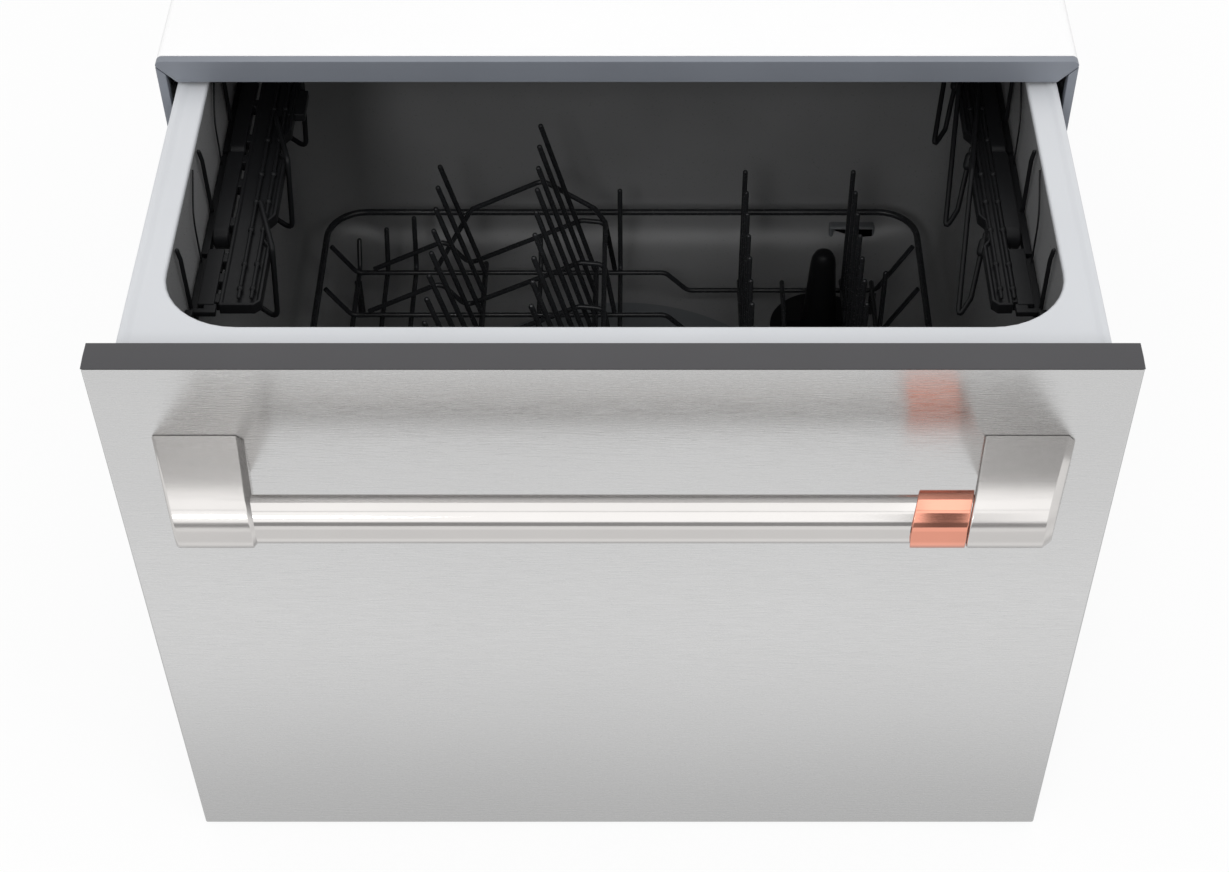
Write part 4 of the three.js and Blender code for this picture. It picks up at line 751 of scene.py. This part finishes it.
class OBJECT_OT_drawer_finishes(bpy.types.Operator):
    """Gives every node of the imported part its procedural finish"""

    bl_idname = "object.drawer_finishes"
    bl_label = "Finishes"

    def execute(self, context):
        for name, node in frame["nodes"].items():
            node.data.materials.clear()
            node.data.materials.append(finish_of(SLOT_OF[name]))
        return {"FINISHED"}


class OBJECT_OT_drawer_door(bpy.types.Operator):
    """Folded steel skin of the door, its inner frame and the cap on its top edge"""

    bl_idname = "object.drawer_door"
    bl_label = "Door"

    def execute(self, context):
        sizes = context.scene.drawer_door
        skin_top, skin_deep, sheet = edge_of("front_panel", 1, 2), 18, 1
        bm = bmesh.new()
        block(bm, -DOOR_HALF, DOOR_HALF, DOOR_Y, DOOR_Y + skin_deep, DOOR_LOW, skin_top)
        face_outwards(bm)
        open_faces = [f for f in bm.faces if f.normal.y > 0.5 or f.normal.z > 0.5]
        bmesh.ops.delete(bm, geom=open_faces, context="FACES_ONLY")
        soften(bm, sizes.skin_edge / MM, 4)
        bmesh.ops.solidify(bm, geom=bm.faces[:], thickness=sheet)
        finish_piece("door_skin", bm, "front_panel")
        soft_copy("door_inner_frame", 0.8)
        cap = soften(copy_of("door_top_cap"), sizes.cap_edge / MM, 3)
        finish_piece("door_cap", cap, "door_top_cap")
        return {"FINISHED"}


class OBJECT_OT_drawer_handle(bpy.types.Operator):
    """Round bar, the two cast posts that hold it and the copper sleeve at its right end"""

    bl_idname = "object.drawer_handle"
    bl_label = "Handle"

    def execute(self, context):
        sizes = context.scene.drawer_handle
        stand_off, nose, root_rise, buried, bar, inner_chamfer = 47.6, 16.6, 2.8, 0.3, 14, 1.2
        outer_root, inner_root = DOOR_HALF - 30.5, DOOR_HALF - 83.5
        outer_slope, inner_slope = 15 / stand_off, 11 / stand_off
        for word, sign in (("left", -1), ("right", 1)):
            arc = [(-stand_off - nose * math.sin(a), BAR_Z + nose * math.cos(a))
                   for a in (math.pi * i / 28 for i in range(29))]
            profile = [(-buried, BAR_Z + nose + root_rise), *arc, (-buried, BAR_Z - nose)]
            bm = along_x(bmesh.new(), profile, 0, 1)
            for vert in bm.verts:
                root, slope = (outer_root, outer_slope) if vert.co.x > 0.5 else (inner_root, inner_slope)
                vert.co.x = sign * (root + slope * vert.co.y)
                vert.co.y += DOOR_Y
            face_outwards(bm)
            bm.normal_update()
            for facing, width in ((sign, sizes.post_chamfer / MM), (-sign, inner_chamfer)):
                side = next(f for f in bm.faces if facing * f.normal.x > 0.5)
                bevel(bm, [e for e in side.edges if min(v.co.y for v in e.verts) < DOOR_Y - 1], width, 1)
            soften(bm, sizes.post_edge / MM, 2, 20)
            finish_piece(f"cast_post_{word}", bm, f"handle_post_{word}", finish="post_steel", sharp=50)
        bm = bmesh.new()
        long = 2 * edge_of("handle_bar", 1, 0)
        lying = Matrix.Translation((0, BAR_Y, BAR_Z)) @ Matrix.Rotation(QUARTER, 4, "Y")
        bmesh.ops.create_cone(
            bm, cap_ends=True, segments=128, radius1=bar, radius2=bar, depth=long, matrix=lying
        )
        soften(bm, 0.8, 2, 60)
        finish_piece("round_bar", bm, "handle_bar")
        bore, sleeve = bar + 0.3, 31.5
        right = inner_root - 0.3
        left = right - sleeve
        rings = [[(x, BAR_Y + r * math.sin(a), BAR_Z + r * math.cos(a))
                  for a in (WHOLE * i / 128 for i in range(128))]
                 for x, r in ((left, bore), (left, nose), (right, nose), (right, bore))]
        bm = soften(stack(rings, True), sizes.sleeve_edge / MM, 3, 60)
        for vert in bm.verts:
            vert.co.x += inner_slope * (vert.co.y - DOOR_Y)
        finish_piece("copper_sleeve", bm, "handle_ring", sharp=50)
        return {"FINISHED"}


class OBJECT_OT_drawer_trim(bpy.types.Operator):
    """Slate grey trim round the front of the cabinet, mitred at its upper corners"""

    bl_idname = "object.drawer_trim"
    bl_label = "Trim"

    def execute(self, context):
        edge = context.scene.drawer_door.trim_edge / MM
        corner, side, base, seam = 4, 6, 8, 0.6
        mitre_z = TRIM_TOP - corner
        mitre = mitre_z - TRIM_UNDER
        outline = [(-TRIM_HALF + mitre, TRIM_UNDER), (TRIM_HALF - mitre, TRIM_UNDER)]
        arc = [QUARTER * i / 8 for i in range(9)]
        centre = TRIM_HALF - corner
        outline += [(centre + corner * math.cos(a), mitre_z + corner * math.sin(a)) for a in arc]
        outline += [(-centre - corner * math.sin(a), mitre_z + corner * math.cos(a)) for a in arc]
        bm = slab(bmesh.new(), [(x, TRIM_Y, z) for x, z in outline], (0, TRIM_BACK - TRIM_Y, 0))
        finish_piece("trim_top", soften(bm, edge, 2, 30), "bezel_top")
        inner = TRIM_HALF - side
        for word, sign in (("left", -1), ("right", 1)):
            high = mitre_z - seam
            outline = [(inner, base), (TRIM_HALF, base), (TRIM_HALF, high), (inner, high - side)]
            points = [(sign * x, TRIM_Y, z) for x, z in outline]
            bm = slab(bmesh.new(), points, (0, TRIM_BACK - TRIM_Y, 0))
            finish_piece(f"trim_{word}", soften(bm, edge, 2, 30), f"bezel_{word}")
        return {"FINISHED"}


class OBJECT_OT_drawer_cabinet(bpy.types.Operator):
    """Folded cabinet panels, feet, slides and the services in the bottom of the cabinet"""

    bl_idname = "object.drawer_cabinet"
    bl_label = "Cabinet"

    def execute(self, context):
        for panel in ("base", "back", "top", "side_left", "side_right"):
            soft_copy(f"cabinet_{panel}", 0.4, 1)
        for node in ("control_module", "mains_box", "water_inlet_valve", "drain_elbow"):
            soft_copy(node, 2.0, 3, 40)
        for word in ("left", "right"):
            soft_copy(f"lid_actuator_{word}", 1.0, 2)
            for kind in ("fixed_runner", "middle_runner", "sliding_runner", "slide_bracket"):
                soft_copy(f"{kind}_{word}", 0.4, 1)
        for place in ("front_left", "front_right", "back_left", "back_right"):
            node = f"foot_{place}"
            pad = [(0, 0), (15, 0), (16.4, 0.6), (17, 2), (17, 6.4), (15.8, 7.7)]
            stem = [(5, 7.7), (5, 20), (0, 20)]
            foot = turned(bmesh.new(), pad + stem, middle_of(node, 0), middle_of(node, 1))
            finish_piece(f"screw_{node}", foot, node)
        return {"FINISHED"}


class OBJECT_OT_drawer_tub(bpy.types.Operator):
    """Pale rim with its raised bead, and the dark tub under it"""

    bl_idname = "object.drawer_tub"
    bl_label = "Tub"

    def execute(self, context):
        half, front, back = DOOR_HALF - 10, DOOR_Y + 20.3, DOOR_Y + 544.6
        mouth, mouth_front, mouth_back, corner = 268, DOOR_Y + 55.6, DOOR_Y + 525.6, 48

        def outer(inset, rise):
            y0, y1 = front + inset, back - inset
            return rounded(inset - half, half - inset, y0, y1, 12 - inset, RIM_TOP + rise)

        def opening(inset, z, radius=corner):
            y0, y1 = mouth_front + inset, mouth_back - inset
            return rounded(inset - mouth, mouth - inset, y0, y1, radius, z)

        skirt = ((2.5, -12), (0.3, -12), (0, -11.7))
        bead = ((0, 0.6), (0.3, 1.3), (1, 1.6), (3.2, 1.6), (4.2, 1.4), (5.4, 0.85), (6.6, 0.35), (7.6, 0.08))
        rim = [outer(inset, rise) for inset, rise in (*skirt, *bead, (8.6, 0))]
        rim += [opening(-2.2, RIM_TOP, 50), opening(-1.2, RIM_TOP - 0.2, 49), opening(-0.4, RIM_TOP - 0.8)]
        rim += [opening(0, RIM_TOP - 1.7), opening(0, RIM_TOP - 3), outer(2.5, -3)]
        bm = stack(rim, True)
        bead_end, fade = back - 13, 12
        for y in (bead_end - fade, bead_end):
            everything = bm.verts[:] + bm.edges[:] + bm.faces[:]
            bmesh.ops.bisect_plane(bm, geom=everything, dist=WELD, plane_co=(0, y, 0), plane_no=(0, 1, 0))
        for vert in bm.verts:
            if vert.co.z > RIM_TOP:
                share = min(1, max(0, (bead_end - vert.co.y) / fade))
                vert.co.z = RIM_TOP + share * (vert.co.z - RIM_TOP)
        finish_piece("rim_moulding", bm, "tub_rim", sharp=50)

        lean = 8 / (RIM_TOP - FLOOR_Z)
        fillet = context.scene.drawer_tub.floor_fillet / MM
        thick, flange, top = 3, 14, RIM_TOP - 3.3
        knee = FLOOR_Z + fillet

        def wall(z, shift=0.0):
            return opening(lean * (RIM_TOP - z) - shift, z)

        def bottom(out):
            """Loops round the fillet at a distance outside the inner face, from the knee to the floor."""
            return [wall(knee - out - fillet * math.sin(a), out - fillet * (1 - math.cos(a)))
                    for a in (QUARTER * i / 12 for i in range(1, 13))]

        loops = bottom(thick)[::-1] + [wall(knee - thick, thick), wall(top - thick, thick)]
        loops += [opening(-flange, top - thick), opening(-flange, top), wall(top), wall(knee), *bottom(0)]
        tub = finish_piece("tub_moulding", stack(loops, False), "tub", sharp=40)
        over_floor = FLOOR_Z + 8
        for low, high, radius, x, y, operation in (
            (76, 103, 38, FILTER_X, FILTER_Y, "UNION"),
            (80, over_floor, 34, FILTER_X, FILTER_Y, "DIFFERENCE"),
            (90, over_floor, 80, 0, PUMP_Y, "DIFFERENCE"),
        ):
            plug = [(0, low), (radius, low), (radius, high), (0, high)]
            join_or_cut(tub, turned(bmesh.new(), plug, x, y), operation)
        return {"FINISHED"}


class OBJECT_OT_drawer_rack(bpy.types.Operator):
    """Coated wire rack: loop, grid, raised supports and four rows of tines"""

    bl_idname = "object.drawer_rack"
    bl_label = "Rack"

    def execute(self, context):
        sizes = context.scene.drawer_rack
        wire, heavy, bend = sizes.wire / MM, sizes.loop_wire / MM, sizes.bend / MM
        loop_front, loop_back, corner = DOOR_Y + 92, DOOR_Y + 480, 30
        loop = rounded(-LOOP_HALF, LOOP_HALF, loop_front, loop_back, corner, LOOP_Z, 8)
        finish_piece("loop_wire", sweep(bmesh.new(), loop, heavy, 16, closed=True), "rack_loop", sharp=60)

        stations = [GRID_BACK - STATION_PITCH * i for i in range(7)]
        front = stations[-1]
        bm = bmesh.new()
        reach, ends, low_end = LOOP_HALF - heavy - wire, LOOP_Z - 0.3, LOOP_HALF - 30.5
        under_grid, on_low = GRID_Z - 3, LOW_Z + 3
        # Cross wires step down to the low level at the right; long wires: x, and the rise of their rear ends.
        cross = [(-reach, ends), (-reach + 18, GRID_Z), (35, GRID_Z), (53, LOW_Z), (low_end, LOW_Z)]
        for y in stations:
            sweep(bm, bent([(x, y, z) for x, z in [*cross, (reach, ends)]], bend), wire)
        for x, rise in ((LEFT_WIRE, 19), (-190, 30.5), (-167, 42), (-66, 22), (-1.5, 70)):
            sweep(bm, bent(long_wire(x, under_grid, front, rise), bend), wire, dome=(True, True))
        for x in (130, RIGHT_WIRE):
            sweep(bm, [(x, y, on_low) for y in (front - 12, GRID_BACK + 8)], wire, dome=(True, True))
        prop = [(RIGHT_WIRE, DOOR_Y + 372, on_low + z) for z in (0, 76)]
        sweep(bm, prop, wire, dome=(False, True))
        leg, foot_end = 3, 106
        for y in (front - 8, GRID_BACK - 8):
            for x, z in ((LEFT_WIRE, under_grid), (RIGHT_WIRE, on_low)):
                sweep(bm, [(x, y, FLOOR_Z + 0.3), (x, y, foot_end), (x, y, z)], leg)
        finish_piece("grid_wires", bm, "rack_grid", sharp=60)

        # Raised wires on the left: x, and height over the grid; the peak stands at the back only.
        seat, tie_x, tie_rise = 3.9, -13, 49
        ramp = [(-200, 0), (-141, 30), (-123, 6), (-32, 51), (tie_x, tie_rise), (-6, 0)]
        peak = [(-150, 0), (-118, 62), (-61, 91), (-21, 63), (tie_x, tie_rise), (-6, 0)]
        bm = bmesh.new()
        for y, shape in [(stations[0], peak), *((y, ramp) for y in stations[:4])]:
            points = [(x, y, GRID_Z + z + seat) for x, z in shape]
            sweep(bm, bent(points, bend), wire)
        tie = [(tie_x, y, GRID_Z + tie_rise + 3.6) for y in (stations[3], stations[0])]
        sweep(bm, tie, wire, dome=(True, True))
        finish_piece("support_wires", bm, "rack_left_supports", sharp=60)

        # Rows of tines: x and height of the foot wire, height of the tips, lean to the left.
        low_foot, grid_foot, tilt = LOW_Z + 4.6, GRID_Z + 4.6, math.radians(15)
        rows = {
            "tine_row_right_inner": (95.5, low_foot, 249, 0),
            "tine_row_right_outer": (178.5, low_foot, 249, 0),
            "tine_row_left_inner": (-21, grid_foot, 293, tilt),
            "tine_row_left_outer": (-110, grid_foot, 254, tilt),
        }
        foot_wire, tines = 2.3, 13
        for node, (x, z, tip, lean) in rows.items():
            bm = bmesh.new()
            sweep(bm, [(x, front - 8, z), (x, GRID_BACK + 8, z)], foot_wire, 12, dome=(True, True))
            shift = (tip - z) * math.tan(lean)
            for i in range(tines):
                y = GRID_BACK - 5 - TINE_PITCH * i
                tine = [(x, y, z), (x - 0.5 * shift, y, (z + tip) / 2), (x - shift, y, tip)]
                sweep(bm, tine, wire, dome=(False, True))
            finish_piece(f"{node}_wires", bm, node, sharp=60)
        return {"FINISHED"}


class OBJECT_OT_drawer_shelves(bpy.types.Operator):
    """Fold-up cup shelves with their wire prongs and the rails that carry them"""

    bl_idname = "object.drawer_shelves"
    bl_label = "Cup Shelves"

    def execute(self, context):
        sizes = context.scene.drawer_rack
        for word, sign in (("left", -1), ("right", 1)):
            shelf_rail(word, sign, sizes.hanger / MM)
            cup_shelf(word, sign, sizes.prong / MM)
        return {"FINISHED"}


class OBJECT_OT_drawer_wash(bpy.types.Operator):
    """Filter plate, spray arm, drain filter, inlet hood, dispenser, sump, pumps and heater"""

    bl_idname = "object.drawer_wash"
    bl_label = "Wash System"

    def execute(self, context):
        low = FLOOR_Z + 0.3
        top = low + 2
        grip = [(0, 80.3), (31, 80.3), (32, 81.3), (32, low), (38.4, low), (39, low + 0.6), (39, top - 0.6)]
        grip += [(38.4, top), (15, top), (12.6, 130), (10.4, 166), (10, 172), (9.2, 177.5), (7.2, 181.5)]
        grip += [(4, 183.6), (0, 184)]
        bm = turned(bmesh.new(), grip, FILTER_X, FILTER_Y)
        block(bm, FILTER_X - 26, FILTER_X + 26, FILTER_Y - 2.5, FILTER_Y + 2.5, low + 1.5, low + 9)
        finish_piece("filter_grip", bm, "drain_filter", finish="dark_plastic", sharp=40)

        lip = top + 10.3
        plate = [(5, low), (149.4, low), (150, low + 0.6), (150, top - 0.6), (149.4, top), (16, top)]
        plate += [(13, top + 0.8), (12, top + 3), (12, lip), (15, lip), (15, lip + 1.2), (14, lip + 1.7)]
        plate += [(5, lip + 1.7), (5, low)]
        finish_piece("filter_disc", turned(bmesh.new(), plate, 0, PUMP_Y, 96), "filter_plate")

        radii = {
            "inlet_hood": 3, "spray_arm": 1.2, "dispenser_body": 2, "dispenser_lid": 0.8, "rinse_cap": 0.8,
            "drain_pump": 1.5, "pump_rotor": 0.5, "heater_plate": 0.6, "sump_housing": 1.5, "pump_motor": 1.5,
        }
        for node, radius in radii.items():
            soft_copy(node, radius, 2, 40)
        return {"FINISHED"}


class OBJECT_OT_drawer_lid(bpy.types.Operator):
    """Lid that drops on the tub when the drawer is shut, and its seal"""

    bl_idname = "object.drawer_lid"
    bl_label = "Lid"

    def execute(self, context):
        soft_copy("tub_lid", 1.0, 2)
        soft_copy("lid_seal", 1.2, 3)
        return {"FINISHED"}


class SCENE_OT_drawer_stage(bpy.types.Operator):
    """Pale floor, soft studio light and the camera at the photograph's view"""

    bl_idname = "scene.drawer_stage"
    bl_label = "Stage"

    def execute(self, context):
        stage = context.scene.drawer_stage
        bm = bmesh.new()
        bmesh.ops.create_grid(bm, x_segments=1, y_segments=1, size=stage.floor_size / 2)
        bmesh.ops.translate(bm, vec=Vector((0, 0, -0.5 * MM)), verts=bm.verts)
        mesh = mesh_of("studio floor", bm)
        floor = placed("studio_floor", mesh)
        mesh.materials.append(floor_finish(stage))

        world = bpy.data.worlds.new("studio")
        world.use_nodes = True
        tree = world.node_tree
        depth = tree.nodes.new("ShaderNodeLightPath").outputs["Glossy Depth"]
        white = ranged(tree, depth, (1, 2), (1.0, stage.mirrored_level))
        level = ranged(tree, seen_share(tree, 1.0), (0, 1), (stage.world_level, white))
        background = tree.nodes["Background"]
        background.inputs["Color"].default_value = (1, 1, 1, 1)
        tree.links.new(level, background.inputs["Strength"])
        context.scene.world = world

        # Lamps: level, width, angles from straight above towards the front, side, seen in gloss.
        softbox("front_softbox", 0.45, 2.6, (10, 55), -0.15)
        softbox("overhead_softbox", 0.36, 2.6, (-52, 5))
        softbox("key_lamp", 19, 0.5, (45, 55), -0.5, False)
        softbox("right_lamp", 3, 0.8, (20, 45), 1.7, False)
        # Cards: level, sides, angles, reach, and the glossy surfaces that a ray has left.
        grey_card("glint_card", 25, (-0.7, -0.5), (31, 36), 2.3)
        grey_card("low_card", 0.35, (-2.4, 2.4), (58, 76))
        sleeve = (0.366, 0.437)
        grey_card("sleeve_flag", 0.2, sleeve, (19.5, 75), 1.5)
        grey_card("sleeve_glow", 1.75, sleeve, (-55, 8), 1.5)
        beside_bar = (("left", (-1.1, -0.6), 0.95, 0.56), ("right", (0.53, 1.1), 0.68, 0.46))
        for word, sides, high, low in beside_bar:
            grey_card(f"{word}_post_card", high, sides, (25, 43), 2.2, 2)
            grey_card(f"{word}_mirror_card", low, sides, (43, 62), 2.2, 2)
        grey_card("bar_card", 1.2, (-0.55, 0.5), (46, 58), 2.2, 2)
        grey_card("low_second_card", 0.15, (-1.2, 1.2), (76, 114), 0.9, 2)

        camera = bpy.data.cameras.new("photo view")
        camera.sensor_width, camera.lens = 36, 61.8
        camera.shift_x, camera.shift_y = -0.0234, 0.0736
        view = placed("photo_view", camera)
        view.location = (0.017, -1.2319, 1.2813)
        view.rotation_euler = (math.radians(41.51), 0, 0)
        context.scene.camera = view
        context.scene.view_settings.view_transform = "Standard"
        return {"FINISHED"}


class VIEW3D_PT_drawer(bpy.types.Panel):
    """Lists the drawer's pieces"""

    bl_idname = "VIEW3D_PT_drawer"
    bl_label = "Dishwasher Drawer"
    bl_space_type = "VIEW_3D"
    bl_region_type = "UI"
    bl_category = "Dishwasher"

    def draw(self, context):
        for group in SETTINGS:
            box = self.layout.box()
            for key in SETTINGS[group].__annotations__:
                box.prop(getattr(context.scene, group), key)
        for operator in OPERATORS:
            self.layout.operator(operator.bl_idname)


SETTINGS = {
    "drawer_finishes": FinishSettings,
    "drawer_door": DoorSettings,
    "drawer_handle": HandleSettings,
    "drawer_tub": TubSettings,
    "drawer_rack": RackSettings,
    "drawer_stage": StageSettings,
}
OPERATORS = (
    SCENE_OT_drawer_stage,
    OBJECT_OT_drawer_finishes,
    OBJECT_OT_drawer_cabinet,
    OBJECT_OT_drawer_trim,
    OBJECT_OT_drawer_door,
    OBJECT_OT_drawer_handle,
    OBJECT_OT_drawer_tub,
    OBJECT_OT_drawer_rack,
    OBJECT_OT_drawer_shelves,
    OBJECT_OT_drawer_wash,
    OBJECT_OT_drawer_lid,
)


def register():
    for cls in (*SETTINGS.values(), *OPERATORS, VIEW3D_PT_drawer):
        bpy.utils.register_class(cls)
    for name, group in SETTINGS.items():
        setattr(bpy.types.Scene, name, bpy.props.PointerProperty(type=group))


def unregister():
    for name in SETTINGS:
        delattr(bpy.types.Scene, name)
    for cls in reversed((*SETTINGS.values(), *OPERATORS, VIEW3D_PT_drawer)):
        bpy.utils.unregister_class(cls)


def main():
    register()
    for operator in OPERATORS:
        group, name = operator.bl_idname.split(".")
        getattr(getattr(bpy.ops, group), name)()


if __name__ == "__main__":
    main()
